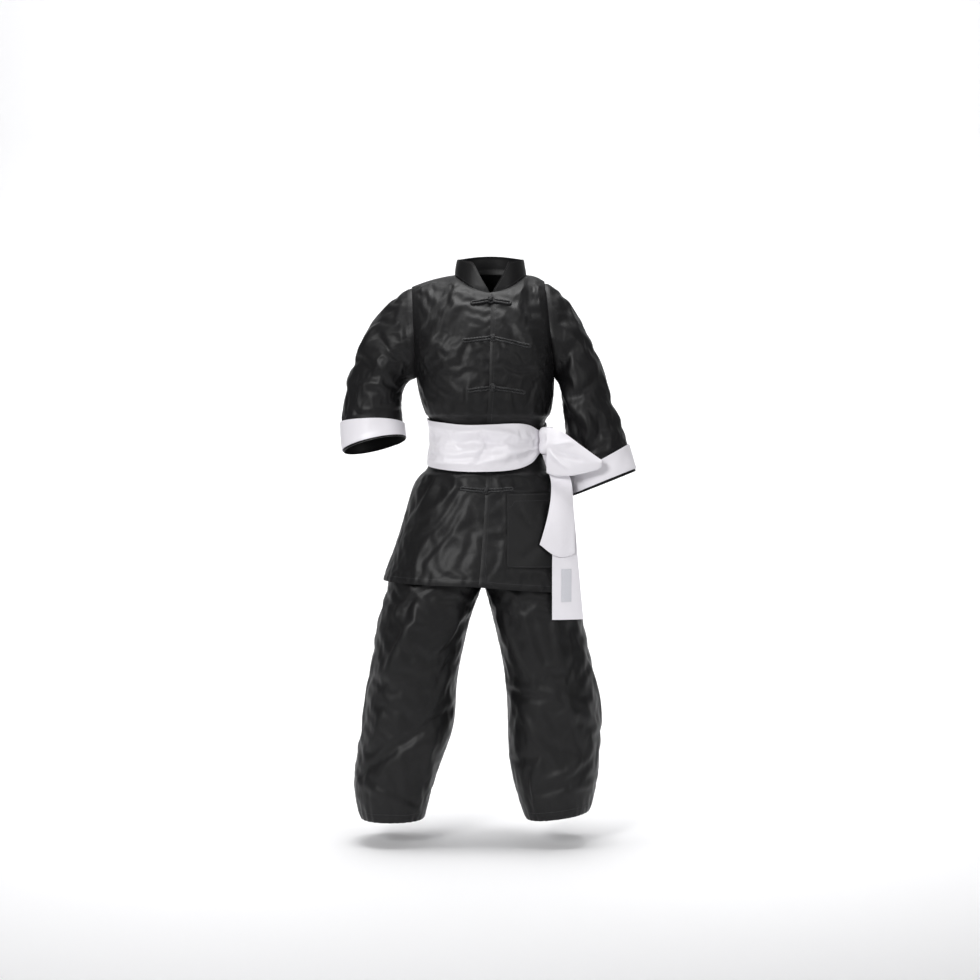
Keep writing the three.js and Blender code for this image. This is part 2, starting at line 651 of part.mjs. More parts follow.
// The body from the underarm (0) to its top edge (1).
function yokePoint(quarter, share, rise) {
  const chest = skirtPoint(quarter, share, CHEST);
  const top = topEdge(quarter, share);
  const power = MIDDLE_SQUARE / 2;
  const depth = quarter.face < 0 ? MIDDLE_SECTION.front : MIDDLE_SECTION.back;
  const edge = Math.asin((ARMHOLES.right.depth / depth) ** power);
  const angle = quarterAngle(MIDDLE_SECTION, MIDDLE_SQUARE, MIDDLE, quarter, share, edge);
  const middle = sectionPoint(MIDDLE_SECTION, MIDDLE_SQUARE, angle, MIDDLE);
  const through = top.clone().sub(chest).multiplyScalar(0.5);
  const turn = smooth((share - YOKE.armholeFrom) / (1 - YOKE.armholeFrom));
  if (rise < 0.5) {
    const out = quarter.face * mix(...YOKE.leaveOut, turn);
    const leave = new THREE.Vector3(0, out, mix(...YOKE.leaveUp, turn));
    return hermitePoint(chest, leave, middle, through, rise * 2);
  }
  const [inPlain, inNeck, inArmhole] = YOKE.arriveIn;
  const [upPlain, upNeck, upArmhole] = YOKE.arriveUp;
  const reach = smooth(share / NECK_SHARE);
  const inwards = NECK.x - top.x;
  const arrive = new THREE.Vector3(
    mix(0, mix(inwards * YOKE.neckIn, 0, turn), reach),
    -quarter.face * mix(mix(inPlain, inNeck, reach), inArmhole, turn),
    mix(mix(upPlain, upNeck, reach), upArmhole, turn),
  );
  return hermitePoint(middle, through, top, arrive, rise * 2 - 1);
}

function quarterPoint(quarter, share, row) {
  const levels = PANEL_LEVELS.length - 1;
  const point =
    row <= levels
      ? skirtPoint(quarter, share, PANEL_LEVELS[row])
      : yokePoint(quarter, share, (row - levels) / YOKE_STEPS);
  point.y += (quarter.face * SEAM) / 2;
  return point;
}

const PANEL_ROWS = PANEL_LEVELS.length + YOKE_STEPS;

function panelGrid(columns) {
  return Array.from({ length: PANEL_ROWS }, (_, row) =>
    columns.map(({ quarter, share }) => quarterPoint(quarter, share, row)),
  );
}

// Folds fade out at the seams, the opening and under the sash.
function folded(grid, folds, fadeColumns) {
  const normals = gridNormals(grid, false);
  const last = grid[0].length - 1;
  return movedOut(grid, normals, (point, r, c) => {
    const sides = Math.min(smooth(c / fadeColumns), smooth((last - c) / fadeColumns));
    const top = smooth((PANEL_ROWS - 1 - r) / FOLD_ROWS);
    const sash = smooth((Math.abs(point.z - SASH_MIDDLE) - SASH_FREE) / SASH_FADE);
    return foldHeight(folds, point.x, point.z) * sides * top * sash;
  });
}

const LEFT_FRONT = { side: 1, face: -1 };
const RIGHT_FRONT = { side: -1, face: -1 };
const LEFT_BACK = { side: 1, face: 1 };
const RIGHT_BACK = { side: -1, face: 1 };

// At the side seams and along the shoulders the wall's edge stands square to the seam.
function panelRim(sideColumns) {
  return (normal, r, c, rows, columns) => {
    const side = sideColumns.includes(c === 0 ? "first" : c === columns - 1 ? "last" : "none");
    if (side && r < PANEL_LEVELS.length) normal.set(Math.sign(normal.x), 0, 0);
    if (r === rows - 1) {
      normal.y = 0;
      normal.normalize();
    }
  };
}

function leftFrontGrid() {
  const columns = PANEL_COLUMNS.map((share) => ({ quarter: LEFT_FRONT, share }));
  return folded(panelGrid(columns), FRONT_FOLDS, 2);
}

function rightFrontGrid() {
  const lap = [-LAP_SHARE, -LAP_SHARE / 2];
  const shares = [...lap, ...LAP_COLUMNS, ...PANEL_COLUMNS.slice(2)].reverse();
  const columns = shares.map((share) => ({ quarter: RIGHT_FRONT, share }));
  const grid = folded(panelGrid(columns), FRONT_FOLDS, 3);
  const normals = gridNormals(grid, false);
  return movedOut(grid, normals, (point, r, c) => {
    return -LAP_DEPTH * smooth((LAP_TURN - shares[c]) / LAP_TURN);
  });
}

function backGrid() {
  const right = [...PANEL_COLUMNS].reverse().map((share) => ({ quarter: LEFT_BACK, share }));
  const left = PANEL_COLUMNS.slice(1).map((share) => ({ quarter: RIGHT_BACK, share }));
  return folded(panelGrid([...right, ...left]), BACK_FOLDS, 2);
}

// Sleeves and cuffs
function armholePoint(armhole, around) {
  const first = armhole.side < 0 ? -1 : 1;
  const face = around < 0.5 ? first : -first;
  const rise = around < 0.5 ? around * 2 : 2 - around * 2;
  const point = yokePoint({ side: armhole.side, face }, 1, rise);
  point.x += armhole.side * ARMHOLE_SEAM;
  return point;
}

// A sleeve runs from the armhole (0) to the cuff's opening (1).
function sleevePoint(sleeve, around, along) {
  const turn = around * 2 * Math.PI;
  const outer = (1 - Math.cos(turn)) / 2;
  const facing = sleeve.armhole.side < 0 ? 1 : -1;
  const start = armholePoint(sleeve.armhole, around);
  const end = vector(sleeve.centre)
    .addScaledVector(vector(sleeve.outward), -sleeve.half * Math.cos(turn))
    .addScaledVector(vector(sleeve.forward), facing * sleeve.depth * Math.sin(turn));
  const leave = vector(sleeve.leaveUnder).lerp(vector(sleeve.leaveOuter), outer);
  const arrive = vector(sleeve.along).multiplyScalar(
    mix(sleeve.arriveUnder, sleeve.arriveOuter, outer),
  );
  return hermitePoint(start, leave, end, arrive, along);
}

function sleeveSteps(cuffStart) {
  const first = CUFF_STEPS[0];
  const end = CUFF_STEPS[CUFF_STEPS.length - 1];
  const cuff = CUFF_STEPS.map((step) => mix(cuffStart, end, (step - first) / (end - first)));
  return [...SLEEVE_STEPS.map((step) => (step * cuffStart) / first), ...cuff, 1];
}

function sleeveGrid(sleeve, folds, cuffStart) {
  const steps = sleeveSteps(cuffStart);
  const grid = steps.map((along) =>
    Array.from({ length: SLEEVE_COLUMNS }, (_, c) =>
      sleevePoint(sleeve, c / SLEEVE_COLUMNS, along),
    ),
  );
  const normals = gridNormals(grid, true);
  return movedOut(grid, normals, (point, r) => {
    const ends = smooth(r / SLEEVE_FADE.rows) * smooth((cuffStart - steps[r]) / SLEEVE_FADE.cuff);
    const list = point.y < 0 ? folds : folds.filter((fold) => fold.both);
    const height = foldHeight(list, point.x, point.z);
    return height * ends * smooth(Math.abs(point.y) / SLEEVE_FADE.sides);
  });
}

function sleeveRim(normal, r) {
  if (r > 0) return;
  normal.x = 0;
  normal.normalize();
}

function cuffGeometry(grid) {
  const band = grid.slice(SLEEVE_STEPS.length, -1);
  const normals = gridNormals(grid, true).slice(SLEEVE_STEPS.length, -1);
  const lift = SEAM + CLOTH;
  const outer = movedOut(band, normals, (point, r) => {
    const share = 1 - r / (band.length - 1);
    return lift + CUFF_FLARE * share;
  });
  return clothWall(outer, { closed: true });
}

// Collar
function collarGrid() {
  const opening = neckOpeningAngle();
  return COLLAR_RISES.map((rise) => {
    const gap = COLLAR_GAP * rise ** COLLAR_FLARE + COLLAR_SEAM;
    return Array.from({ length: COLLAR_STEPS + 1 }, (_, c) => {
      const angle = mix(opening + gap, opening + 2 * Math.PI - gap, c / COLLAR_STEPS);
      const point = neckPoint(angle, COLLAR_CLEAR);
      const centre = new THREE.Vector3(NECK.x, NECK.y, 0);
      const inwards = centre.sub(point).setZ(0).normalize();
      const corner = smooth(Math.min(c, COLLAR_STEPS - c) / COLLAR_ROUND);
      const sine = Math.sin(angle);
      const level = mix(COLLAR_TOP.side, sine < 0 ? COLLAR_TOP.front : COLLAR_TOP.back, sine * sine);
      point.addScaledVector(inwards, COLLAR_LEAN * rise);
      point.z = mix(point.z, level - COLLAR_CORNER * (1 - corner), rise);
      return point;
    });
  });
}

// Trousers
function seatPoint(side, share, z) {
  const section = rowAt(SEAT, "z", z);
  const angle = side < 0 ? QUARTER + Math.PI * share : -QUARTER + Math.PI * share;
  const point = sectionPoint(section, LEG_SQUARE, angle, z);
  const clear = CROTCH_X + (side * SEAM) / 2;
  point.x = side < 0 ? Math.min(point.x, clear) : Math.max(point.x, clear);
  return point;
}

function legPoint(leg, share, z) {
  const section = rowAt(leg.sections, "z", Math.min(z, CROTCH));
  const seam = leg.side < 0 ? 0 : Math.PI;
  const tube = sectionPoint(section, LEG_SQUARE, seam + 2 * Math.PI * share, z);
  const edge = share === 0 ? 1 : share === 1 ? -1 : 0;
  tube.y = edge ? (section.y ?? 0) - (leg.side * edge * SEAM) / 2 : tube.y;
  if (leg.side > 0 && z < HEM_RISE_TOP) {
    tube.z += HEM_RISE * (tube.x - section.left) * smooth((HEM_RISE_TOP - z) / HEM_RISE_FADE);
  }
  if (z <= CROTCH) return tube;
  return tube.lerp(seatPoint(leg.side, share, z), smooth((z - CROTCH) / (SEAT_FULL - CROTCH)));
}

function legGrid(leg, folds) {
  const grid = LEG_LEVELS.map((z) =>
    Array.from({ length: LEG_COLUMNS + 1 }, (_, c) => legPoint(leg, c / LEG_COLUMNS, z)),
  );
  const normals = gridNormals(grid, false);
  return movedOut(grid, normals, (point, r, c) => {
    const seam = smooth(Math.min(c, LEG_COLUMNS - c) / LEG_FADE.columns);
    const top = smooth((LEG_FADE.top - point.z) / LEG_FADE.topFade);
    const hem = smooth((point.z - LEG_FADE.hem) / LEG_FADE.hemFade);
    const list = point.y < 0 ? folds : folds.filter((fold) => fold.both);
    const height = foldHeight(list, point.x, point.z);
    return height * seam * top * hem * smooth(Math.abs(point.y) / LEG_FADE.sides);
  });
}

// An edge that meets another wall above or below it stays level.
function levelRim(normal) {
  normal.z = 0;
  normal.normalize();
}

// The two edges of each leg meet at the inseam, so the wall's edge stands square to it.
function legRim(normal, r, c, rows, columns) {
  if (r === rows - 1) levelRim(normal);
  if (c !== 0 && c !== columns - 1) return;
  if (LEG_LEVELS[r] <= CROTCH) {
    normal.set(Math.sign(normal.x) || 1, 0, 0);
    return;
  }
  normal.x = 0;
  normal.normalize();
}

function ringOf(count, pointAt) {
  return Array.from({ length: count }, (_, c) => pointAt(-Math.PI + (c / count) * 2 * Math.PI));
}

function waistbandGrid() {
  const grid = WAISTBAND_LEVELS.map((z) =>
    ringOf(LEG_COLUMNS, (angle) => sectionPoint(wallSection(z), BODY_SQUARE, angle, z)),
  );
  const normals = gridNormals(grid, true);
  normals.flat().forEach(levelRim);
  return movedOut(grid, normals, -WAISTBAND_INSET);
}

// Sash
function sashAngles() {
  const quarter = PANEL_COLUMNS.slice(0, -1);
  const angles = [];
  for (let turn = 0; turn < 4; turn += 1) {
    const start = -Math.PI + turn * QUARTER;
    const toSide = turn % 2 === 1;
    const shares = toSide ? quarter : PANEL_COLUMNS.slice(1).map((s) => 1 - s).reverse();
    for (const share of shares) angles.push(start + share * QUARTER);
  }
  return angles;
}

function sashFold(angle, rise) {
  const degrees = angle / DEGREE;
  let height = 0;
  for (const fold of SASH_FOLDS) {
    const across = degrees - (fold.from + fold.rise * rise);
    height += fold.height * Math.exp(-((across / fold.width) ** 2));
  }
  const beside = Math.abs(angle - KNOT_ANGLE) / DEGREE;
  const knot = smooth((beside - SASH_KNOT_CLEAR) / SASH_KNOT_FADE);
  return height * knot * Math.sin(Math.PI * mix(...SASH_SPAN, rise));
}

function sashGrid() {
  const angles = sashAngles();
  const rows = Array.from({ length: SASH_STEPS + 1 }, (_, r) => r / SASH_STEPS);
  const grid = rows.map((rise) =>
    angles.map((angle) => {
      const edge = rowAt(SASH_EDGES, "angle", angle / DEGREE);
      const z = mix(edge.bottom, edge.top, rise);
      return sectionPoint(wallSection(z), BODY_SQUARE, angle, z);
    }),
  );
  const normals = gridNormals(grid, true);
  return movedOut(grid, normals, (point, r, c) => {
    return SASH_CLEAR + SASH_WALL + sashFold(angles[c], rows[r]);
  });
}

// The knot's centre line: against the sash, with its broad side along it.
function knotFrame() {
  const middle = (KNOT_SECTIONS[0].z + KNOT_SECTIONS[KNOT_SECTIONS.length - 1].z) / 2;
  const section = wallSection(middle);
  const here = sectionPoint(section, BODY_SQUARE, KNOT_ANGLE, 0);
  const next = sectionPoint(section, BODY_SQUARE, KNOT_ANGLE + KNOT_TURN, 0);
  const along = next.sub(here).normalize();
  const out = new THREE.Vector3(along.y, -along.x, 0);
  const thickest = Math.max(...KNOT_SECTIONS.map((row) => row.through));
  const centre = here.addScaledVector(out, SASH_CLEAR + SASH_WALL + KNOT_CLEAR + thickest);
  return { centre, along, out };
}

function knotGeometry() {
  const { centre, along, out } = knotFrame();
  const rings = KNOT_SECTIONS.map(({ z, half, through }) =>
    Array.from({ length: KNOT_COLUMNS }, (_, c) => {
      const turn = (c / KNOT_COLUMNS) * 2 * Math.PI;
      const point = centre.clone().setZ(z);
      point.addScaledVector(out, through * signedPower(Math.cos(turn), KNOT_POWER));
      return point.addScaledVector(along, half * signedPower(Math.sin(turn), KNOT_POWER));
    }),
  );
  return ringSolid(rings);
}

// The bow loop: down the front, round the roll at the bottom and up behind.
function loopGrid() {
  return LOOP_SECTIONS.map(({ x, top, bottom, front, roll, behind }) => {
    const straight = top - bottom - roll;
    const line = [];
    for (const share of LOOP_DOWN) {
      const bulge = LOOP_BULGE * Math.sin(Math.PI * share * LOOP_BULGE_SPAN);
      line.push(new THREE.Vector3(x, front - bulge, top - straight * share));
    }
    const centreY = line[line.length - 1].y + roll;
    for (const turn of LOOP_TURNS) {
      const angle = Math.PI * (1 + turn);
      const y = centreY + roll * Math.cos(angle);
      line.push(new THREE.Vector3(x, y, bottom + roll + roll * Math.sin(angle)));
    }
    for (const share of LOOP_UP) {
      line.push(new THREE.Vector3(x, centreY + roll, bottom + roll + straight * behind * share));
    }
    return line;
  });
}

function tailGrid(table, ends = null) {
  const rows = [...table].reverse();
  const grid = rows.map(({ z, leftX, leftY, rightX, rightY }) =>
    Array.from({ length: TAIL_COLUMNS + 1 }, (_, c) => {
      const share = c / TAIL_COLUMNS;
      const free = smooth((TAIL_FREE - z) / TAIL_FADE);
      const bulge = TAIL_BULGE * Math.sin(Math.PI * share) * free;
      return new THREE.Vector3(mix(leftX, rightX, share), mix(leftY, rightY, share) - bulge, z);
    }),
  );
  if (ends) grid[0].forEach((point, c) => (point.z += ends[c]));
  return grid;
}

// At its top edge a tail's wall stays level, under the knot.
function tailRim(normal, r, c, rows) {
  if (r === rows - 1) levelRim(normal);
}

// What lies on a panel: the place of its outer face behind a point of the front view.
function frontOf(grid, x, z) {
  let found = null;
  for (let r = 0; r < grid.length - 1; r += 1) {
    for (let c = 0; c < grid[0].length - 1; c += 1) {
      const corners = [grid[r][c], grid[r][c + 1], grid[r + 1][c + 1], grid[r + 1][c]];
      for (const [i, j, k] of [[0, 1, 2], [0, 2, 3]]) {
        const hit = triangleAt(corners[i], corners[j], corners[k], x, z);
        if (hit && (!found || hit.point.y < found.point.y)) found = hit;
      }
    }
  }
  return found;
}

function triangleAt(a, b, c, x, z) {
  const area = (b.x - a.x) * (c.z - a.z) - (c.x - a.x) * (b.z - a.z);
  if (Math.abs(area) < TINY) return null;
  const second = ((x - a.x) * (c.z - a.z) - (c.x - a.x) * (z - a.z)) / area;
  const third = ((b.x - a.x) * (z - a.z) - (x - a.x) * (b.z - a.z)) / area;
  const first = 1 - second - third;
  if (Math.min(first, second, third) < -EDGE_SLACK) return null;
  const point = new THREE.Vector3(x, first * a.y + second * b.y + third * c.y, z);
  const normal = b.clone().sub(a).cross(c.clone().sub(a)).normalize();
  return { point, normal };
}

// A doubled cord that lies on a panel, from near the knob to its end.
function frogLoop(grid, x0, z0, x1, z1) {
  const places = Array.from({ length: FROG_STEPS + 1 }, (_, n) => {
    const share = n / FROG_STEPS;
    return frontOf(grid, mix(x0, x1, share), mix(z0, z1, share));
  });
  const rings = places.map(({ point, normal }, n) => {
    const before = places[Math.max(n - 1, 0)].point;
    const after = places[Math.min(n + 1, FROG_STEPS)].point;
    const along = after.clone().sub(before).normalize();
    const side = along.clone().cross(normal).normalize();
    const centre = point.clone().addScaledVector(normal, FROG_CLEAR + FROG_HEIGHT / 2);
    return Array.from({ length: FROG_SIDES }, (_, c) => {
      const turn = (c / FROG_SIDES) * 2 * Math.PI;
      return centre
        .clone()
        .addScaledVector(side, (FROG_WIDTH / 2) * signedPower(Math.cos(turn), FROG_POWER))
        .addScaledVector(normal, (-FROG_HEIGHT / 2) * signedPower(Math.sin(turn), FROG_POWER));
    });
  });
  return ringSolid(rings);
}

function knobGeometry(grid, x, z) {
  const { point, normal } = frontOf(grid, x, z);
  const centre = point.clone().addScaledVector(normal, KNOB_RADIUS + FROG_CLEAR);
  const rings = KNOB_HEIGHTS.map((height) => {
    const radius = KNOB_RADIUS * Math.max(Math.sqrt(1 - height * height), KNOB_END);
    return Array.from({ length: KNOB_COLUMNS }, (_, c) => {
      const turn = (c / KNOB_COLUMNS) * 2 * Math.PI;
      return new THREE.Vector3(
        centre.x + radius * Math.cos(turn),
        centre.y + radius * Math.sin(turn),
        centre.z + KNOB_RADIUS * height,
      );
    });
  });
  return ringSolid(rings);
}

function addFrog(group, frog, rightGrid, leftGrid) {
  const { name, knobX, knobZ } = frog;
  group.add(piece(`frog_${name}_knob`, knobGeometry(leftGrid, knobX, knobZ), blackCord));
  const right = frogLoop(rightGrid, openingX(knobZ) - FROG_START, knobZ, frog.leftX, frog.leftZ);
  const left = frogLoop(leftGrid, knobX + FROG_START, knobZ, frog.rightX, frog.rightZ);
  group.add(piece(`frog_${name}_loop_right`, right, blackCord));
  group.add(piece(`frog_${name}_loop_left`, left, blackCord));
}

function pocketGeometry(grid) {
  const first = PANEL_LEVELS.indexOf(POCKET_BOTTOM);
  const last = PANEL_LEVELS.indexOf(POCKET_TOP);
  const [left, right] = POCKET_COLUMNS;
  const cut = (rows) => rows.slice(first, last + 1).map((line) => line.slice(left, right + 1));
  const outer = movedOut(cut(grid), cut(gridNormals(grid, false)), SEAM + CLOTH);
  return clothWall(outer);
}

function labelGeometry(tail) {
  const levels = [LABEL.bottom, (LABEL.bottom + LABEL.top) / 2, LABEL.top];
  const places = [LABEL.x0, (LABEL.x0 + LABEL.x1) / 2, LABEL.x1];
  const grid = levels.map((z) =>
    places.map((x) => {
      const { point, normal } = frontOf(tail, x, z);
      return point.clone().addScaledVector(normal, LABEL.clear + LABEL.thick);
    }),
  );
  return clothWall(grid, { thickness: LABEL.thick });
}

function addJacket(group) {
  const leftGrid = leftFrontGrid();
  const rightGrid = rightFrontGrid();
  const left = clothWall(leftGrid, { rim: panelRim(["last"]) });
  const right = clothWall(rightGrid, { rim: panelRim(["first"]) });
  const back = clothWall(backGrid(), { rim: panelRim(["first", "last"]) });
  group.add(piece("front_panel_left", left, blackSatin));
  group.add(piece("front_panel_right", right, blackSatin));
  group.add(piece("back_panel", back, blackSatin));
  for (const side of ["right", "left"]) {
    const start = CUFF_STARTS[side];
    const grid = sleeveGrid(SLEEVES[side], SLEEVE_FOLDS[side], start);
    const sleeve = clothWall(grid, { closed: true, rim: sleeveRim });
    group.add(piece(`sleeve_${side}`, sleeve, blackSatin));
    group.add(piece(`cuff_${side}`, cuffGeometry(grid), whiteSatin));
  }
  group.add(piece("collar", clothWall(collarGrid()), blackSatin));
  group.add(piece("pocket", pocketGeometry(leftGrid), blackSatin));
  for (const frog of FROGS) addFrog(group, frog, rightGrid, leftGrid);
}

function addTrousers(group) {
  for (const side of ["right", "left"]) {
    const grid = legGrid(LEGS[side], LEG_FOLDS[side]);
    group.add(piece(`trouser_leg_${side}`, clothWall(grid, { rim: legRim }), blackSatin));
  }
  const band = clothWall(waistbandGrid(), {
    closed: true,
    thickness: WAISTBAND_WALL,
    rim: levelRim,
  });
  group.add(piece("trouser_waistband", band, blackSatin));
}

function addSash(group) {
  const wrap = clothWall(sashGrid(), { closed: true, thickness: SASH_WALL });
  group.add(piece("sash_wrap", wrap, whiteSatin));
  group.add(piece("sash_knot", knotGeometry(), whiteSatin));
  group.add(piece("sash_loop", clothWall(loopGrid()), whiteSatin));
  const short = clothWall(tailGrid(TAIL_SHORT, TAIL_SHORT_END), { rim: tailRim });
  const longGrid = tailGrid(TAIL_LONG);
  group.add(piece("sash_tail_short", short, whiteSatin));
  group.add(piece("sash_tail_long", clothWall(longGrid, { rim: tailRim }), whiteSatin));
  group.add(piece("sash_label", labelGeometry(longGrid), greyLabel));
}

const uniform = new THREE.Group();
addJacket(uniform);
addTrousers(uniform);
addSash(uniform);

export default uniform;
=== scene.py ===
"""The look of a child's tai chi uniform: black satin jacket and trousers, white cuffs and sash.

Metres, in the part's own frame: +X is the photo's right, -Y the front, +Z up, and the origin lies
between the shoulders. Each sheet of cloth starts from its own CAD solid's outer face, so it keeps
the true form; the folds, seams, stitches and cords are added here.
"""

import logging
import math
from collections.abc import Callable
from dataclasses import dataclass, field
from enum import Enum

import bpy
import numpy as np
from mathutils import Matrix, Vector
from mathutils.bvhtree import BVHTree
from mathutils.kdtree import KDTree


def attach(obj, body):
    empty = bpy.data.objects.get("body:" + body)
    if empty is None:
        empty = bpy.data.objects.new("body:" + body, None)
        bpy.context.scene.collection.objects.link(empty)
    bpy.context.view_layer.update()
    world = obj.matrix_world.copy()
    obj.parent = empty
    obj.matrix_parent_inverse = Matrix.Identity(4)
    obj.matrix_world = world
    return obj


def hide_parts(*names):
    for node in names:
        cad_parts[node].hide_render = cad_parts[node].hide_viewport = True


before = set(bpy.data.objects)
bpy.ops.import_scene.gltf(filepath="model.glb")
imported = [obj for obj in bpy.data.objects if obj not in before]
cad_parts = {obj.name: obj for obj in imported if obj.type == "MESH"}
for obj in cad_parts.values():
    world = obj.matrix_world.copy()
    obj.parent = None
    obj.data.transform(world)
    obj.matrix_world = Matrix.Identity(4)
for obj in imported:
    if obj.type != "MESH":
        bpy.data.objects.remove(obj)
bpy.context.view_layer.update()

MM = 0.001
RIM_ANGLE = math.radians(52)  # a sheet's face and its rim meet at more than this
JACKET_HEM = 11.0  # how wide the hems are turned up, in millimetres
TROUSER_HEM = 16.0
CUFF_COVER = 46.0  # how much of a sleeve its turned-back cuff covers, in millimetres
EdgeTest = Callable[[np.ndarray], np.ndarray]  # picks edges by their middle points, one a row
log = logging.getLogger("uniform")


# Options and shared measures


class Side(Enum):
    """The side of the garment that a fold is drawn on, as (axis across, facing axis, sign)."""

    FRONT = (0, 1, -1.0)
    BACK = (0, 1, 1.0)
    LEFT = (1, 0, 1.0)
    RIGHT = (1, 0, -1.0)


class Held(Enum):
    """How a sheet is held on the real garment."""

    DRAPED = "draped"
    HUNG = "hung"
    GATHERED = "gathered"
    LAID = "laid"
    FOLDED = "folded"


def smooth(x: np.ndarray) -> np.ndarray:
    """Smooth step from 0 to 1 as x goes from 0 to 1."""
    x = np.clip(x, 0.0, 1.0)
    return x * x * (3.0 - 2.0 * x)


def smooth_line(points: np.ndarray, steps: int = 8, closed: bool = False) -> np.ndarray:
    """A Catmull-Rom curve through the points.

    Args:
        points: the points, one a row.
        steps: how many pieces each stretch is cut into.
        closed: whether the last point leads back to the first.

    Returns:
        The curve's points, one a row.
    """
    points = np.asarray(points, dtype=float)
    count = len(points)
    spans = count if closed else count - 1
    made = []
    for i in range(spans):
        if closed:
            a, b, c, d = (points[(i + k) % count] for k in (-1, 0, 1, 2))
        else:
            b, c = points[i], points[i + 1]
            a = points[i - 1] if i > 0 else 2 * b - c
            d = points[i + 2] if i + 2 < count else 2 * c - b
        for t in np.arange(steps) / steps:
            made.append(
                0.5 * (2 * b + (c - a) * t + (2 * a - 5 * b + 4 * c - d) * t**2
                       + (3 * b - a - 3 * c + d) * t**3)
            )
    if not closed:
        made.append(points[-1])
    return np.array(made)


@dataclass(frozen=True)
class Unevenness:
    """Soft random heights, the same on every run: one value at each corner of a grid of cells."""

    seed: int

    def at(self, points: np.ndarray, cells: tuple[float, float, float]) -> np.ndarray:
        """Heights from about -1 to 1.

        Args:
            points: where, in metres.
            cells: the size of a cell along each axis, in millimetres.

        Returns:
            One height a point.
        """
        size = 32
        lattice = np.random.default_rng(self.seed).uniform(-1, 1, (size, size, size))
        place = points / (np.array(cells) * MM) + 7.31
        low = np.floor(place).astype(int)
        part = smooth(place - low)
        total = np.zeros(len(points))
        for dx in (0, 1):
            for dy in (0, 1):
                for dz in (0, 1):
                    weight = np.ones(len(points))
                    for axis, d in enumerate((dx, dy, dz)):
                        weight = weight * (part[:, axis] if d else 1 - part[:, axis])
                    i, j, k = ((low[:, a] + d) % size for a, d in enumerate((dx, dy, dz)))
                    total += weight * lattice[i, j, k]
        return total


@dataclass(frozen=True)
class Crease:
    """One fold, drawn as a line on one side of the garment.

    points are (across, up) in millimetres. width is the fold's half width, height how far it
    stands out (a trough is below 0), and skew makes one flank steeper than the other.
    """

    points: tuple[tuple[float, float], ...]
    width: float
    height: float
    skew: float = 0.0
    side: Side = Side.FRONT
    starts_full: bool = False

    def lift(self, points: np.ndarray, normals: np.ndarray) -> np.ndarray:
        """How far the fold lifts each point.

        Args:
            points: the points, in metres.
            normals: the cloth's directions there.

        Returns:
            The lift along the normal, in metres.
        """
        across, facing, sign = self.side.value
        line = smooth_line(np.array(self.points)) * MM
        place = points[:, [across, 2]]
        best = np.full(len(points), 1e9)
        signed = np.zeros(len(points))
        run = np.zeros(len(points))
        total = float(np.linalg.norm(np.diff(line, axis=0), axis=1).sum())
        gone = 0.0
        for a, b in zip(line[:-1], line[1:]):
            step = b - a
            length = float(np.linalg.norm(step))
            if length < 1e-9:
                continue
            t = np.clip(((place - a) @ step) / length**2, 0, 1)
            off = place - (a + t[:, None] * step)
            far = np.linalg.norm(off, axis=1)
            nearer = far < best
            best = np.where(nearer, far, best)
            signed = np.where(nearer, np.sign(step[0] * off[:, 1] - step[1] * off[:, 0]), signed)
            run = np.where(nearer, (gone + t * length) / total, run)
            gone += length
        width = self.width * MM * (1 + self.skew * signed)
        ends = smooth((1 - run) / 0.35)
        if not self.starts_full:
            ends = ends * smooth(run / 0.3)
        seen = smooth((sign * normals[:, facing] - 0.02) / 0.5)
        return self.height * MM * np.exp(-((best / width) ** 2)) * (0.15 + 0.85 * ends) * seen


@dataclass(frozen=True)
class Press:
    """A stretch of cloth that something over it presses in, such as the sash on the jacket.

    low and high are the box in millimetres, depth how far in, and fade the way it eases off over.
    """

    low: tuple[float, float, float]
    high: tuple[float, float, float]
    depth: float
    fade: float = 12.0

    def share(self, points: np.ndarray) -> np.ndarray:
        """How much the stretch presses on each point.

        Args:
            points: the points, in metres.

        Returns:
            One share a point, from 0 outside the box to 1 inside, easing off over the fade.
        """
        low, high = np.array(self.low) * MM, np.array(self.high) * MM
        out = np.maximum(np.maximum(low - points, points - high), 0)
        return 1 - smooth(np.linalg.norm(out, axis=1) / (self.fade * MM))


@dataclass(frozen=True)
class Settling:
    """How cloth settles: the simulation's length and the cloth's weight and stiffness.

    sewn and fade are how far from a sewn edge the cloth is held fast and then let go, in
    millimetres, and pressed is how firmly it is held under what presses on it.
    """

    frames: int = 16
    quality: int = 6
    mass: float = 0.05
    stretch: float = 12.0
    shear: float = 4.0
    damping: float = 3.0
    gravity: float = 0.25
    sewn: float = 3.0
    fade: float = 16.0
    pressed: float = 0.85


@dataclass(frozen=True)
class EdgeForm:
    """The form that cloth takes at its edges, and where something lies on it.

    Lengths are in millimetres. Folds fade over calm, to the share kept at the edge itself, and
    lose the share flattened under a press. A cuff sinks the cloth by cuff_sink and lets it go over
    cuff_fade. A hem rises by hem_rise over hem_step, centred hem_before short of its width. A tuck
    takes in the cloth over tuck_reach and sinks it by tuck_sink.
    """

    calm: float = 14.0
    kept: float = 0.15
    flattened: float = 0.85
    cuff_sink: float = 0.8
    cuff_fade: float = 10.0
    hem_rise: float = 0.6
    hem_before: float = 1.5
    hem_step: float = 3.0
    tuck_reach: float = 8.0
    tuck_sink: float = 0.9


SETTLING = Settling()
EDGES = EdgeForm()


# Finishes


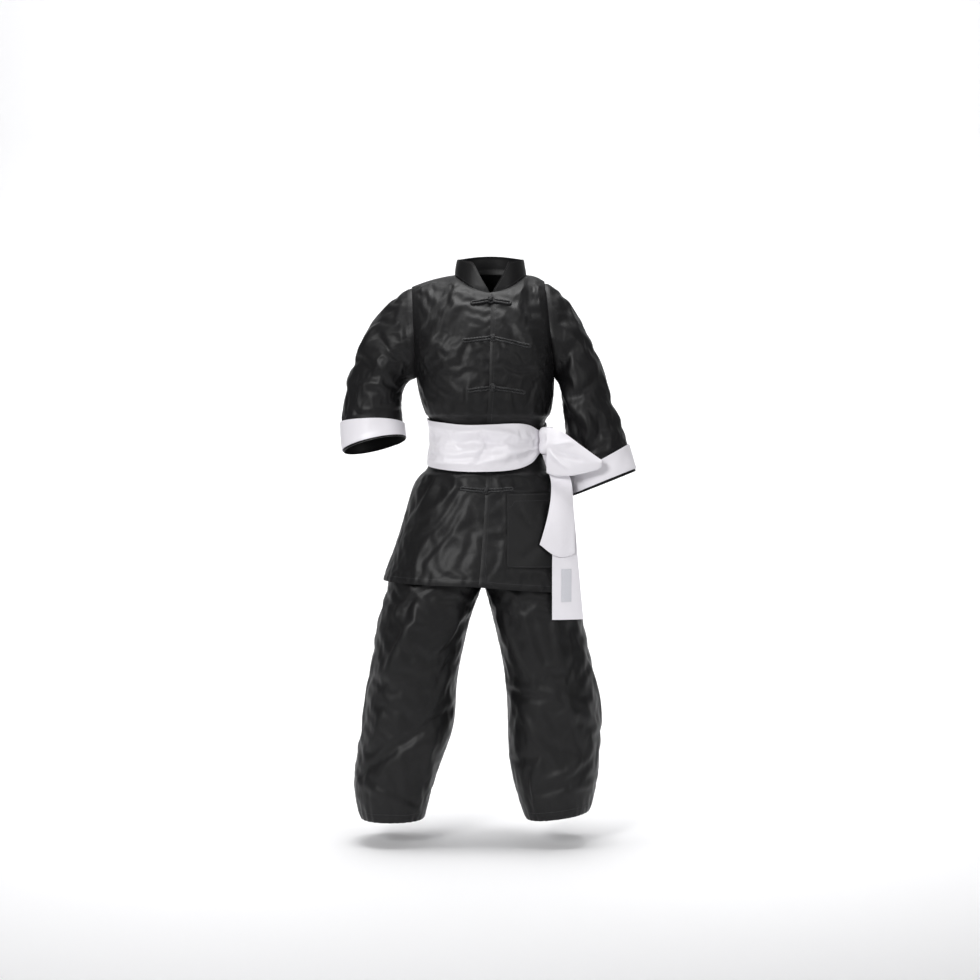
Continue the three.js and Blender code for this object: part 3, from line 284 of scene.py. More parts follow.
def weave_group() -> bpy.types.NodeTree:
    """The shared look of woven satin: a height for the bump and a share that varies the shade.

    Returns:
        The node group, made once.
    """
    found = bpy.data.node_groups.get("woven_satin")
    if found:
        return found
    tree = bpy.data.node_groups.new("woven_satin", "ShaderNodeTree")
    for name, low, high, value in (("Thread", 100.0, 8000.0, 2600.0), ("Crumple", 0.0, 4.0, 1.0)):
        socket = tree.interface.new_socket(name, in_out="INPUT", socket_type="NodeSocketFloat")
        socket.min_value, socket.max_value, socket.default_value = low, high, value
    for name in ("Height", "Shade"):
        tree.interface.new_socket(name, in_out="OUTPUT", socket_type="NodeSocketFloat")
    node, link = tree.nodes.new, tree.links.new
    inside, outside = node("NodeGroupInput"), node("NodeGroupOutput")
    place = node("ShaderNodeTexCoord")
    heights = []
    for scale, detail, share in ((34.0, 2.0, 0.0011), (95.0, 3.0, 0.0004)):
        crumple = node("ShaderNodeTexNoise")
        crumple.inputs["Scale"].default_value = scale
        crumple.inputs["Detail"].default_value = detail
        crumple.inputs["Distortion"].default_value = 0.6
        link(place.outputs["Object"], crumple.inputs["Vector"])
        part = node("ShaderNodeMath")
        part.operation = "MULTIPLY"
        part.inputs[1].default_value = share
        link(crumple.outputs["Fac"], part.inputs[0])
        heights.append(part)
    both = node("ShaderNodeMath")
    both.operation = "ADD"
    link(heights[0].outputs[0], both.inputs[0])
    link(heights[1].outputs[0], both.inputs[1])
    crumpled = node("ShaderNodeMath")
    crumpled.operation = "MULTIPLY"
    link(both.outputs[0], crumpled.inputs[0])
    link(inside.outputs["Crumple"], crumpled.inputs[1])
    thread = node("ShaderNodeTexNoise")
    thread.inputs["Detail"].default_value = 1.0
    stretch = node("ShaderNodeMapping")
    stretch.inputs["Scale"].default_value = (1.0, 1.0, 0.12)
    link(place.outputs["Object"], stretch.inputs["Vector"])
    link(stretch.outputs["Vector"], thread.inputs["Vector"])
    link(inside.outputs["Thread"], thread.inputs["Scale"])
    fine = node("ShaderNodeMath")
    fine.operation = "MULTIPLY_ADD"
    fine.inputs[1].default_value = 0.000006
    link(thread.outputs["Fac"], fine.inputs[0])
    link(crumpled.outputs[0], fine.inputs[2])
    link(fine.outputs[0], outside.inputs["Height"])
    link(thread.outputs["Fac"], outside.inputs["Shade"])
    return tree


@dataclass(frozen=True)
class Satin:
    """A satin cloth finish: its colour, how tight its highlights are and how crumpled it lies."""

    name: str
    colour: tuple[float, float, float]
    roughness: float
    sheen: float
    specular: float
    crumple: float
    slot: str
    thread: float = 2600.0

    def material(self) -> bpy.types.Material:
        """The finish as a material.

        Returns:
            The material, made once.
        """
        made = bpy.data.materials.get(self.name)
        if made:
            return made
        made = bpy.data.materials.new(self.name)
        made.use_nodes = True
        made.diffuse_color = (*self.colour, 1.0)
        tree = made.node_tree
        shader = tree.nodes["Principled BSDF"]
        shader.inputs["Base Color"].default_value = (*self.colour, 1.0)
        shader.inputs["Roughness"].default_value = self.roughness
        shader.inputs["Sheen Weight"].default_value = self.sheen
        shader.inputs["Sheen Roughness"].default_value = 0.45
        shader.inputs["Specular IOR Level"].default_value = self.specular
        weave = tree.nodes.new("ShaderNodeGroup")
        weave.node_tree = weave_group()
        weave.inputs["Thread"].default_value = self.thread
        weave.inputs["Crumple"].default_value = self.crumple
        bump = tree.nodes.new("ShaderNodeBump")
        bump.inputs["Distance"].default_value = 1.0
        bump.inputs["Strength"].default_value = 0.9
        tree.links.new(weave.outputs["Height"], bump.inputs["Height"])
        tree.links.new(bump.outputs["Normal"], shader.inputs["Normal"])
        return made


@dataclass(frozen=True)
class Thread:
    """Sewing thread or twisted cord: one plain colour with a soft shine."""

    name: str
    colour: tuple[float, float, float]
    roughness: float
    slot: str

    def material(self) -> bpy.types.Material:
        """The finish as a material.

        Returns:
            The material, made once.
        """
        made = bpy.data.materials.get(self.name)
        if made:
            return made
        made = bpy.data.materials.new(self.name)
        made.use_nodes = True
        made.diffuse_color = (*self.colour, 1.0)
        shader = made.node_tree.nodes["Principled BSDF"]
        shader.inputs["Base Color"].default_value = (*self.colour, 1.0)
        shader.inputs["Roughness"].default_value = self.roughness
        shader.inputs["Sheen Weight"].default_value = 0.04
        return made


BLACK = Satin("cloth_black", (0.0034, 0.0033, 0.0038), 0.48, 0.0, 0.32, 0.45, "black_satin")
WHITE = Satin("cloth_white", (0.80, 0.78, 0.82), 0.40, 0.05, 0.5, 0.5, "white_satin")
LABEL = Satin("cloth_label", (0.60, 0.60, 0.64), 0.7, 0.1, 0.3, 0.1, "label_weave", 1400.0)
CORD = Thread("cord_black", (0.004, 0.004, 0.005), 0.55, "black_cord")
BLACK_THREAD = Thread("thread_black", (0.035, 0.035, 0.038), 0.5, "black_satin")
WHITE_THREAD = Thread("thread_white", (0.74, 0.73, 0.78), 0.5, "white_satin")


# Cloth


def new_piece(name: str, points: np.ndarray, faces: list, finish: Satin | Thread) -> bpy.types.Object:
    """A mesh object at the origin, in the given finish.

    Args:
        name: its name.
        points: its points, in metres.
        faces: its faces, as lists of point numbers.
        finish: what it is made of.

    Returns:
        The new object, linked to the scene.
    """
    mesh = bpy.data.meshes.new(name)
    mesh.from_pydata(np.asarray(points).tolist(), [], [list(map(int, f)) for f in faces])
    mesh.update()
    made = bpy.data.objects.new(name, mesh)
    bpy.context.scene.collection.objects.link(made)
    mesh.materials.append(finish.material())
    return made


def only(obj: bpy.types.Object) -> None:
    """Make an object the one that is selected and active.

    Args:
        obj: the object.
    """
    bpy.ops.object.select_all(action="DESELECT")
    obj.select_set(True)
    bpy.context.view_layer.objects.active = obj


def coordinates(obj: bpy.types.Object) -> tuple[np.ndarray, np.ndarray]:
    """The points of a mesh and its directions there.

    Args:
        obj: the object that holds the mesh.

    Returns:
        The points and the directions, one a row each.
    """
    count = len(obj.data.vertices)
    points, normals = np.empty(count * 3), np.empty(count * 3)
    obj.data.vertices.foreach_get("co", points)
    obj.data.vertices.foreach_get("normal", normals)
    return points.reshape(-1, 3), normals.reshape(-1, 3)


def outer_face(node: str, centre: tuple[float, float, float]) -> tuple[np.ndarray, np.ndarray]:
    """The face of a CAD wall that looks away from a centre, without its rim and its inner face.

    Args:
        node: the CAD node.
        centre: a point or, for a tube, a point on its axis, in metres; a number over 5 m away on
            one axis stands for a flat piece that looks the other way.

    Returns:
        The points and the triangles of that face.
    """
    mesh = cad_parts[node].data
    raw = np.empty(len(mesh.vertices) * 3)
    mesh.vertices.foreach_get("co", raw)
    loops = np.empty(len(mesh.loops), dtype=int)
    mesh.loops.foreach_get("vertex_index", loops)
    points, back = np.unique(np.round(raw.reshape(-1, 3), 6), axis=0, return_inverse=True)
    faces = back.reshape(-1)[loops.reshape(-1, 3)]
    whole = (faces[:, 0] != faces[:, 1]) & (faces[:, 1] != faces[:, 2]) & (faces[:, 0] != faces[:, 2])
    faces = faces[whole]
    cross = np.cross(points[faces[:, 1]] - points[faces[:, 0]], points[faces[:, 2]] - points[faces[:, 0]])
    area = np.linalg.norm(cross, axis=1)
    normal = cross / np.maximum(area, 1e-15)[:, None]
    leader = list(range(len(faces)))

    def root(i: int) -> int:
        """The face that leads the group of face i."""
        while leader[i] != i:
            leader[i] = leader[leader[i]]
            i = leader[i]
        return i

    shared = {}
    for i, face in enumerate(faces):
        for k in range(3):
            edge = (int(min(face[k], face[k - 1])), int(max(face[k], face[k - 1])))
            if edge in shared:
                j = shared[edge]
                if normal[i] @ normal[j] > math.cos(RIM_ANGLE):
                    leader[root(i)] = root(j)
            else:
                shared[edge] = i
    group = np.array([root(i) for i in range(len(faces))])
    middle = points[faces].mean(axis=1)
    away = middle - np.array(centre)
    away[:, 2] = 0
    away /= np.maximum(np.linalg.norm(away, axis=1), 1e-9)[:, None]
    outward = area * (normal * away).sum(axis=1)
    best = max(np.unique(group), key=lambda g: float(outward[group == g].sum()))
    chosen = faces[group == best]
    used, renumbered = np.unique(chosen, return_inverse=True)
    return points[used], renumbered.reshape(-1, 3)


def edge_distance(obj: bpy.types.Object, points: np.ndarray, keep: EdgeTest | None = None) -> np.ndarray:
    """How far each point is from the free edge of a single-layer sheet.

    Args:
        obj: the sheet.
        points: the points, in metres.
        keep: a test of the edge's middle points, to take only some of the edge.

    Returns:
        One distance a point, in metres; 1 where no such edge is near.
    """
    count = len(obj.data.edges)
    ends = np.empty(count * 2, dtype=int)
    obj.data.edges.foreach_get("vertices", ends)
    ends = ends.reshape(-1, 2)
    loop_edges = np.empty(len(obj.data.loops), dtype=int)
    obj.data.loops.foreach_get("edge_index", loop_edges)
    free = np.bincount(loop_edges, minlength=count) == 1
    place, _ = coordinates(obj)
    a, b = place[ends[free, 0]], place[ends[free, 1]]
    if keep is not None:
        chosen = keep((a + b) / 2)
        a, b = a[chosen], b[chosen]
    steps = np.linspace(0, 1, 5)[:-1, None, None]
    along = (a + (b - a) * steps).reshape(-1, 3)
    if not len(along):
        return np.full(len(points), 1.0)
    tree = KDTree(len(along))
    for i, point in enumerate(along):
        tree.insert(point, i)
    tree.balance()
    return np.array([tree.find(point)[2] for point in points])


@dataclass
class ClothSheet:
    """One sheet of cloth: its CAD solid's outer face, smoothed, folded and given a thickness.

    flat and area are the cut of what shows, in metres; centre is what its outside looks away
    from, and levels how often its grid is halved. Lengths from here on are in millimetres:
    drape and ripple are the cells and the height of its unevenness, seam_dip and seam_width the
    valley along its edges, hem the doubled cloth along hem_edges, tuck how far tuck_edges go under
    their neighbour, and covered how much a cuff hides along covered_edges. slack is the share by
    which the cloth is cut too large, hold how firmly its middle keeps its form as it settles, and
    stiffness how hard it is to bend.
    """

    name: str
    node: str
    finish: Satin
    flat: tuple[float, float]
    area: float
    held: Held
    centre: tuple[float, float, float] = (0.0, 0.0, 0.0)
    levels: int = 3
    thickness: float = 1.1
    creases: tuple[Crease, ...] = ()
    presses: tuple[Press, ...] = ()
    drape: tuple[tuple[float, float, float], float] = ((34.0, 34.0, 70.0), 0.9)
    ripple: tuple[tuple[float, float, float], float] = ((13.0, 13.0, 20.0), 0.25)
    seed: int = 1
    seam_dip: float = 0.7
    seam_width: float = 5.0
    hem: float = 0.0
    hem_edges: EdgeTest | None = None
    slack: float = 0.0
    hold: float = 0.5
    stiffness: float = 0.4
    tuck: tuple[float, float, float] = (0.0, 0.0, 0.0)
    tuck_edges: EdgeTest | None = None
    covered: float = 0.0
    covered_edges: EdgeTest | None = None
    obj: bpy.types.Object = field(default=None, init=False)

    def build(self) -> bpy.types.Object:
        """Make the sheet as a single layer: smoothed, folded and dipped at its seams.

        Returns:
            The object, still without its thickness.
        """
        points, faces = outer_face(self.node, self.centre)
        self.obj = new_piece(self.name, points, faces, self.finish)
        only(self.obj)
        bpy.ops.object.mode_set(mode="EDIT")
        bpy.ops.mesh.select_all(action="SELECT")
        bpy.ops.mesh.tris_convert_to_quads(face_threshold=math.pi, shape_threshold=math.pi)
        bpy.ops.mesh.normals_make_consistent(inside=False)
        bpy.ops.object.mode_set(mode="OBJECT")
        self.face_out()
        if self.slack:
            self.refine(self.levels - 1)
            self.shape_cloth()
            self.settle()
            self.refine(1)
        else:
            self.refine(self.levels)
            self.shape_cloth()
        self.finish_edges()
        return self.obj

    def refine(self, levels: int) -> None:
        """Halve the grid smoothly.

        Args:
            levels: how often.
        """
        finer = self.obj.modifiers.new("finer", "SUBSURF")
        finer.levels = finer.render_levels = levels
        finer.boundary_smooth = "PRESERVE_CORNERS"
        bpy.ops.object.modifier_apply(modifier="finer")

    def settle(self) -> None:
        """Let the cloth, cut a little larger than its form, buckle into its own small folds.

        Its edges are sewn down, and its middle is held softly to the form it was given.
        """
        points, _ = coordinates(self.obj)
        edge = edge_distance(self.obj, points, self.sewn_edges if self.hem else None)
        free = smooth((edge - SETTLING.sewn * MM) / (SETTLING.fade * MM))
        held = self.hold + (1 - self.hold) * (1 - free)
        for press in self.presses:
            held = np.maximum(held, press.share(points) * SETTLING.pressed)
        held = np.maximum(held, self.under_cover(points))
        group = self.obj.vertex_groups.new(name="held")
        for i, weight in enumerate(held):
            group.add([i], float(weight), "REPLACE")
        only(self.obj)
        cloth = self.obj.modifiers.new("settling", "CLOTH")
        rules = cloth.settings
        rules.vertex_group_mass = "held"
        rules.pin_stiffness = 1.0
        rules.quality = SETTLING.quality
        rules.mass = SETTLING.mass
        rules.tension_stiffness = rules.compression_stiffness = SETTLING.stretch
        rules.shear_stiffness = SETTLING.shear
        rules.bending_stiffness = self.stiffness
        rules.air_damping = SETTLING.damping
        rules.shrink_min = -self.slack
        rules.effector_weights.gravity = SETTLING.gravity
        cloth.point_cache.frame_start, cloth.point_cache.frame_end = 1, SETTLING.frames
        for frame_number in range(1, SETTLING.frames + 1):
            bpy.context.scene.frame_set(frame_number)
        bpy.ops.object.modifier_apply(modifier="settling")
        bpy.context.scene.frame_set(1)
        self.obj.vertex_groups.clear()
        after, _ = coordinates(self.obj)
        moved = np.linalg.norm(after - points, axis=1) / MM
        log.info("%s settled: %.1f mm on average, %.1f at most", self.name, moved.mean(), moved.max())

    def sewn_edges(self, middle: np.ndarray) -> np.ndarray:
        """The edges that are sewn to another sheet, so not the hem."""
        return ~self.hem_edges(middle)

    def under_cover(self, points: np.ndarray) -> np.ndarray:
        """How far each point lies under a cuff turned back over this sheet's edge.

        Args:
            points: the points, in metres.

        Returns:
            One share a point, from 0 in the open to 1 under the cuff.
        """
        if not self.covered:
            return np.zeros(len(points))
        near = edge_distance(self.obj, points, self.covered_edges)
        return 1 - smooth((near - self.covered * MM) / (EDGES.cuff_fade * MM))

    def face_out(self) -> None:
        """Turn every face to look away from the centre, if the recalculation turned them in."""
        points, normals = coordinates(self.obj)
        away = points - np.array(self.centre)
        away[:, 2] = 0
        if float((away * normals).sum()) < 0:
            self.obj.data.flip_normals()

    def shape_cloth(self) -> None:
        """Move the cloth by its folds, its unevenness, what presses on it, and its seams."""
        points, normals = coordinates(self.obj)
        lift = np.zeros(len(points))
        for crease in self.creases:
            lift += crease.lift(points, normals)
        for number, (cells, height) in enumerate((self.drape, self.ripple)):
            lift += Unevenness(self.seed + 50 * number).at(points, cells) * height * MM
        pressed = np.zeros(len(points))
        for press in self.presses:
            share = press.share(points)
            lift *= 1 - EDGES.flattened * share
            pressed += share * press.depth * MM
        covered = self.under_cover(points)
        lift *= 1 - covered
        pressed += covered * EDGES.cuff_sink * MM
        edge = edge_distance(self.obj, points)
        lift *= smooth(edge / (EDGES.calm * MM)) * (1 - EDGES.kept) + EDGES.kept
        self.move(points + normals * (lift - pressed)[:, None])

    def finish_edges(self) -> None:
        """Dip the seams, thicken the hem and tuck an edge under its neighbour."""
        points, normals = coordinates(self.obj)
        edge = edge_distance(self.obj, points)
        lift = -self.seam_dip * MM * (1 - smooth(edge / (self.seam_width * MM)))
        if self.hem:
            near = edge_distance(self.obj, points, self.hem_edges)
            inner = near - (self.hem - EDGES.hem_before) * MM
            lift += EDGES.hem_rise * MM * (1 - smooth(inner / (EDGES.hem_step * MM)))
        moved = points + normals * lift[:, None]
        if any(self.tuck):
            near = edge_distance(self.obj, points, self.tuck_edges)
            share = 1 - smooth(near / (EDGES.tuck_reach * MM))
            moved += (np.array(self.tuck) - normals * EDGES.tuck_sink) * MM * share[:, None]
        self.move(moved)

    def move(self, points: np.ndarray) -> None:
        """Put the sheet's points at new places."""
        self.obj.data.vertices.foreach_set("co", points.ravel())
        self.obj.data.update()

    def thicken(self) -> None:
        """Give the sheet its thickness, inwards, and soft shading."""
        only(self.obj)
        wall = self.obj.modifiers.new("wall", "SOLIDIFY")
        wall.thickness = self.thickness * MM
        wall.offset = -1.0
        wall.use_even_offset = False
        bpy.ops.object.modifier_apply(modifier="wall")
        bpy.ops.object.shade_smooth_by_angle(angle=math.radians(60))

    def declare(self, rests_on: tuple[str, ...] = ()) -> None:
        """Attach the sheet to the root and hide its CAD node.

        Args:
            rests_on: the names of the objects that it lies on; not used.
        """
        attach(self.obj, "root")
        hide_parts(self.node)
        log.info("%s: %d faces", self.name, len(self.obj.data.polygons))


def contour(obj: bpy.types.Object, values: np.ndarray, level: float) -> list[np.ndarray]:
    """Lines on a sheet along which a value is level.

    Args:
        obj: a single-layer sheet.
        values: the value at each of its points.
        level: the value to follow.

    Returns:
        Each line's points and directions, six numbers a row.
    """
    points, normals = coordinates(obj)
    links: dict = {}
    place: dict = {}
    for polygon in obj.data.polygons:
        corners = list(polygon.vertices)
        crossed = []
        for a, b in zip(corners, corners[1:] + corners[:1]):
            if (values[a] < level) != (values[b] < level):
                key = (min(a, b), max(a, b))
                t = (level - values[key[0]]) / (values[key[1]] - values[key[0]])
                point = points[key[0]] + t * (points[key[1]] - points[key[0]])
                normal = normals[key[0]] + t * (normals[key[1]] - normals[key[0]])
                place[key] = np.concatenate([point, normal])
                crossed.append(key)
        if len(crossed) == 2:
            links.setdefault(crossed[0], []).append(crossed[1])
            links.setdefault(crossed[1], []).append(crossed[0])
    lines = []
    left = set(links)
    starts = [k for k in links if len(links[k]) == 1] + list(links)
    for start in starts:
        if start not in left:
            continue
        line = [start]
        left.discard(start)
        while True:
            following = [k for k in links[line[-1]] if k in left]
            if not following:
                break
            line.append(following[0])
            left.discard(following[0])
        if len(line) > 3:
            lines.append(np.array([place[k] for k in line]))
    return lines


def resampled(line: np.ndarray, step: float) -> np.ndarray:
    """The same line with its points evenly spaced.

    Args:
        line: the line, one point a row, with its place in the first three columns.
        step: how far apart the new points are, in metres.

    Returns:
        The new points, with every column of the old ones.
    """
    run = np.concatenate([[0], np.cumsum(np.linalg.norm(np.diff(line[:, :3], axis=0), axis=1))])
    wanted = np.arange(0, run[-1], step)
    return np.stack([np.interp(wanted, run, line[:, k]) for k in range(line.shape[1])], axis=1)


@dataclass
class StitchRow:
    """Rows of sewing stitches laid along lines on a sheet, as one piece."""

    name: str
    finish: Thread
    length: float = 2.6
    gap: float = 1.0
    radius: float = 0.32
    points: list = field(default_factory=list, init=False)
    faces: list = field(default_factory=list, init=False)

    def add(self, line: np.ndarray, sink: float = 0.1) -> None:
        """Lay stitches along a line.

        Args:
            line: points and directions, six numbers a row, in metres.
            sink: how deep the thread's middle lies in the cloth, in millimetres.
        """
        pitch = self.length + self.gap
        fine = resampled(line, 0.25 * pitch * MM)
        for i in range(0, len(fine) - 4, 4):
            a, b = fine[i, :3], fine[i + 3, :3]
            up = fine[i, 3:] + fine[i + 3, 3:]
            up /= max(float(np.linalg.norm(up)), 1e-9)
            along = b - a
            size = float(np.linalg.norm(along))
            if size < 1e-5:
                continue
            along /= size
            side = np.cross(along, up)
            start = len(self.points)
            for t, share in ((0.0, 0.15), (0.25, 1.0), (0.75, 1.0), (1.0, 0.15)):
                middle = a + (b - a) * t - up * sink * MM + up * 0.15 * MM * (share - 0.5)
                for k in range(4):
                    angle = math.pi / 4 + k * math.pi / 2
                    round_it = side * math.cos(angle) + up * math.sin(angle)
                    self.points.append(middle + round_it * self.radius * MM * share)
            for ring in range(3):
                for k in range(4):
                    first, second = start + ring * 4 + k, start + ring * 4 + (k + 1) % 4
                    self.faces.append((first, first + 4, second + 4, second))
            self.faces.append((start, start + 1, start + 2, start + 3))
            self.faces.append((start + 15, start + 14, start + 13, start + 12))

    def build(self) -> bpy.types.Object:
        """Make the stitches as one object that goes with the garment.

        Returns:
            The object.
        """
        made = new_piece(self.name, np.array(self.points), self.faces, self.finish)
        made.data.polygons.foreach_set("use_smooth", [True] * len(made.data.polygons))
        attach(made, "root")
        log.info("%s: %d stitches", self.name, len(self.faces) // 14)
        return made


# Edges, picked by their middle points


def jacket_hem(middle: np.ndarray) -> np.ndarray:
    """The jacket's bottom edge."""
    return middle[:, 2] < -0.52


def trouser_hem(middle: np.ndarray) -> np.ndarray:
    """The trousers' bottom edges."""
    return middle[:, 2] < -0.94


def front_opening(middle: np.ndarray) -> np.ndarray:
    """The left front's edge down the middle of the jacket."""
    between = (middle[:, 2] < -0.03) & (middle[:, 2] > -0.56)
    return between & (middle[:, 0] < 0.024) & (middle[:, 1] < -0.02)


def pocket_mouth(middle: np.ndarray) -> np.ndarray:
    """The pocket's top edge."""
    return middle[:, 2] > -0.400


def collar_seam(middle: np.ndarray) -> np.ndarray:
    """The collar's lower edge, which rises from the front to the back."""
    return middle[:, 2] < 0.0134 + 0.56 * middle[:, 1]


def right_armhole(middle: np.ndarray) -> np.ndarray:
    """The right sleeve's edge at the body."""
    return middle[:, 0] > -0.17


def right_sleeve_end(middle: np.ndarray) -> np.ndarray:
    """The right sleeve's edge in its cuff."""
    return middle[:, 0] <= -0.17


def left_armhole(middle: np.ndarray) -> np.ndarray:
    """The left sleeve's edge at the body."""
    return middle[:, 0] < 0.15


def left_sleeve_end(middle: np.ndarray) -> np.ndarray:
    """The left sleeve's edge in its cuff."""
    return middle[:, 0] >= 0.15


# Jacket, trousers and sash


BEHIND = (0.0, 9.0, 0.0)
SASH_BAND = Press((-400, -400, -344), (400, 400, -258), 3.6, 16)
POCKET_BED = Press((42, -400, -522), (140, 0, -392), 1.6, 10)


@dataclass
class Jacket:
    """The jacket: three body panels, two sleeves with turned-back cuffs, a collar and a pocket."""

    sheets: dict[str, ClothSheet] = field(default_factory=dict, init=False)

    def make_sheets(self) -> None:
        """List the jacket's sheets with their cuts and folds."""
        panels = {"finish": BLACK, "held": Held.DRAPED, "hem": JACKET_HEM, "hem_edges": jacket_hem,
                  "slack": 0.018, "hold": 0.26, "stiffness": 2.5}
        sleeves = {"finish": BLACK, "held": Held.DRAPED, "slack": 0.026, "hold": 0.24,
                   "stiffness": 2.5, "covered": CUFF_COVER}
        made = [
            ClothSheet("jacket_front_right", "front_panel_right", flat=(0.30, 0.60), area=0.131,
                       creases=FRONT_RIGHT_CREASES, presses=(SASH_BAND,), seed=3, **panels),
            ClothSheet("jacket_front_left", "front_panel_left", flat=(0.27, 0.60), area=0.110,
                       creases=FRONT_LEFT_CREASES, presses=(SASH_BAND, POCKET_BED), seed=5, **panels),
            ClothSheet("jacket_back", "back_panel", flat=(0.46, 0.61), area=0.217,
                       creases=BACK_CREASES, presses=(SASH_BAND,), seed=7, **panels),
            ClothSheet("jacket_sleeve_right", "sleeve_right", flat=(0.36, 0.30), area=0.080,
                       centre=(-0.196, 0.0, 0.0), creases=SLEEVE_RIGHT_CREASES, seed=11,
                       tuck=(2.5, 0.0, 0.0), tuck_edges=right_armhole,
                       covered_edges=right_sleeve_end, **sleeves),
            ClothSheet("jacket_sleeve_left", "sleeve_left", flat=(0.37, 0.36), area=0.102,
                       centre=(0.19, 0.0, 0.0), creases=SLEEVE_LEFT_CREASES, seed=13,
                       tuck=(-2.5, 0.0, 0.0), tuck_edges=left_armhole,
                       covered_edges=left_sleeve_end, **sleeves),
            ClothSheet("jacket_cuff_right", "cuff_right", WHITE, (0.29, 0.05), 0.0138, Held.FOLDED,
                       centre=(-0.213, 0.0, 0.0), seam_dip=0.2, seed=17),
            ClothSheet("jacket_cuff_left", "cuff_left", WHITE, (0.31, 0.05), 0.0148, Held.FOLDED,
                       centre=(0.213, -0.008, 0.0), seam_dip=0.2, seed=19),
            ClothSheet("jacket_collar", "collar", BLACK, (0.31, 0.045), 0.0115, Held.FOLDED,
                       centre=(0.005, 0.0, 0.0), seam_dip=0.3, seed=23, tuck=(0.0, 0.0, -3.0),
                       tuck_edges=collar_seam),
            ClothSheet("jacket_pocket", "pocket", BLACK, (0.122, 0.145), 0.0163, Held.LAID,
                       centre=BEHIND, seam_dip=0.25, seed=29, creases=POCKET_CREASES),
        ]
        self.sheets = {sheet.node: sheet for sheet in made}

    def build(self) -> None:
        """Make every sheet as a single layer, ready for its stitches."""
        self.make_sheets()
        for sheet in self.sheets.values():
            sheet.build()

    def finish(self) -> None:
        for node, sheet in self.sheets.items():
            sheet.thicken()
            sheet.declare(("jacket_front_left",) if node == "pocket" else ())


@dataclass
class Trousers:
    """The trousers: two legs, each one sheet, and the drawn-in waistband."""

    sheets: dict[str, ClothSheet] = field(default_factory=dict, init=False)

    def make_sheets(self) -> None:
        """List the trousers' sheets with their cuts and folds."""
        legs = {"finish": BLACK, "held": Held.HUNG, "hem": TROUSER_HEM, "hem_edges": trouser_hem,
                "slack": 0.022, "hold": 0.26, "stiffness": 2.0}
        made = [
            ClothSheet("trousers_leg_right", "trouser_leg_right", flat=(0.60, 0.72), area=0.335,
                       centre=(-0.13, 0.0, 0.0), creases=LEG_RIGHT_CREASES, seed=31, **legs),
            ClothSheet("trousers_leg_left", "trouser_leg_left", flat=(0.60, 0.72), area=0.330,
                       centre=(0.10, 0.0, 0.0), creases=LEG_LEFT_CREASES, seed=37, **legs),
            ClothSheet("trousers_waistband", "trouser_waistband", BLACK, (0.60, 0.036), 0.0205,
                       Held.GATHERED, levels=2, seed=41),
        ]
        self.sheets = {sheet.node: sheet for sheet in made}

    def build(self) -> None:
        """Make every sheet as a single layer."""
        self.make_sheets()
        for sheet in self.sheets.values():
            sheet.build()

    def finish(self) -> None:
        for sheet in self.sheets.values():
            sheet.thicken()
            sheet.declare()


@dataclass
class Sash:
    """The white sash: the wound band, the knot, the bow loop, two tails and the bare label."""

    sheets: dict[str, ClothSheet] = field(default_factory=dict, init=False)

    def make_sheets(self) -> None:
        """List the sash's sheets with their cuts and folds."""
        flat_side = {"centre": BEHIND, "seam_dip": 0.2}
        made = [
            ClothSheet("sash_band", "sash_wrap", WHITE, (0.62, 0.092), 0.0545, Held.GATHERED,
                       creases=SASH_CREASES, seed=43, seam_dip=0.5, drape=((40.0, 40.0, 26.0), 0.7),
                       slack=0.03, hold=0.25, stiffness=1.2),
            ClothSheet("sash_bow", "sash_loop", WHITE, (0.11, 0.10), 0.0101, Held.FOLDED, seed=47,
                       creases=BOW_CREASES, **flat_side),
            ClothSheet("sash_end_short", "sash_tail_short", WHITE, (0.055, 0.19), 0.0091, Held.HUNG,
                       seed=53, **flat_side),
            ClothSheet("sash_end_long", "sash_tail_long", WHITE, (0.052, 0.305), 0.0139, Held.HUNG,
                       seed=59, **flat_side),
            ClothSheet("sash_patch", "sash_label", LABEL, (0.019, 0.061), 0.00111, Held.LAID,
                       levels=2, seed=61, thickness=0.5, drape=((30.0, 30.0, 30.0), 0.0),
                       ripple=((30.0, 30.0, 30.0), 0.0), **flat_side),
        ]
        self.sheets = {sheet.node: sheet for sheet in made}

    def build(self) -> None:
        """Make every sheet as a single layer."""
        self.make_sheets()
        for sheet in self.sheets.values():
            sheet.build()

    def build_knot(self) -> None:
        """Make the knot as one padded piece from its solid."""
        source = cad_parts["sash_knot"].data
        raw = np.empty(len(source.vertices) * 3)
        source.vertices.foreach_get("co", raw)
        points, back = np.unique(np.round(raw.reshape(-1, 3), 6), axis=0, return_inverse=True)
        back = back.reshape(-1)
        faces = [[int(back[i]) for i in polygon.vertices] for polygon in source.polygons]
        faces = [face for face in faces if len(set(face)) == 3]
        knot = new_piece("sash_knot_tied", points, faces, WHITE)
        only(knot)
        bpy.ops.object.mode_set(mode="EDIT")
        bpy.ops.mesh.select_all(action="SELECT")
        bpy.ops.mesh.tris_convert_to_quads(face_threshold=math.pi, shape_threshold=math.pi)
        bpy.ops.mesh.normals_make_consistent(inside=False)
        bpy.ops.object.mode_set(mode="OBJECT")
        finer = knot.modifiers.new("finer", "SUBSURF")
        finer.levels = finer.render_levels = 3
        bpy.ops.object.modifier_apply(modifier="finer")
        bpy.ops.object.shade_smooth()
        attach(knot, "root")
        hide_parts("sash_knot")
        log.info("%s: %d faces", knot.name, len(knot.data.polygons))

    def finish(self) -> None:
        for sheet in self.sheets.values():
            sheet.thicken()
            sheet.declare()
        self.build_knot()


# Frogs


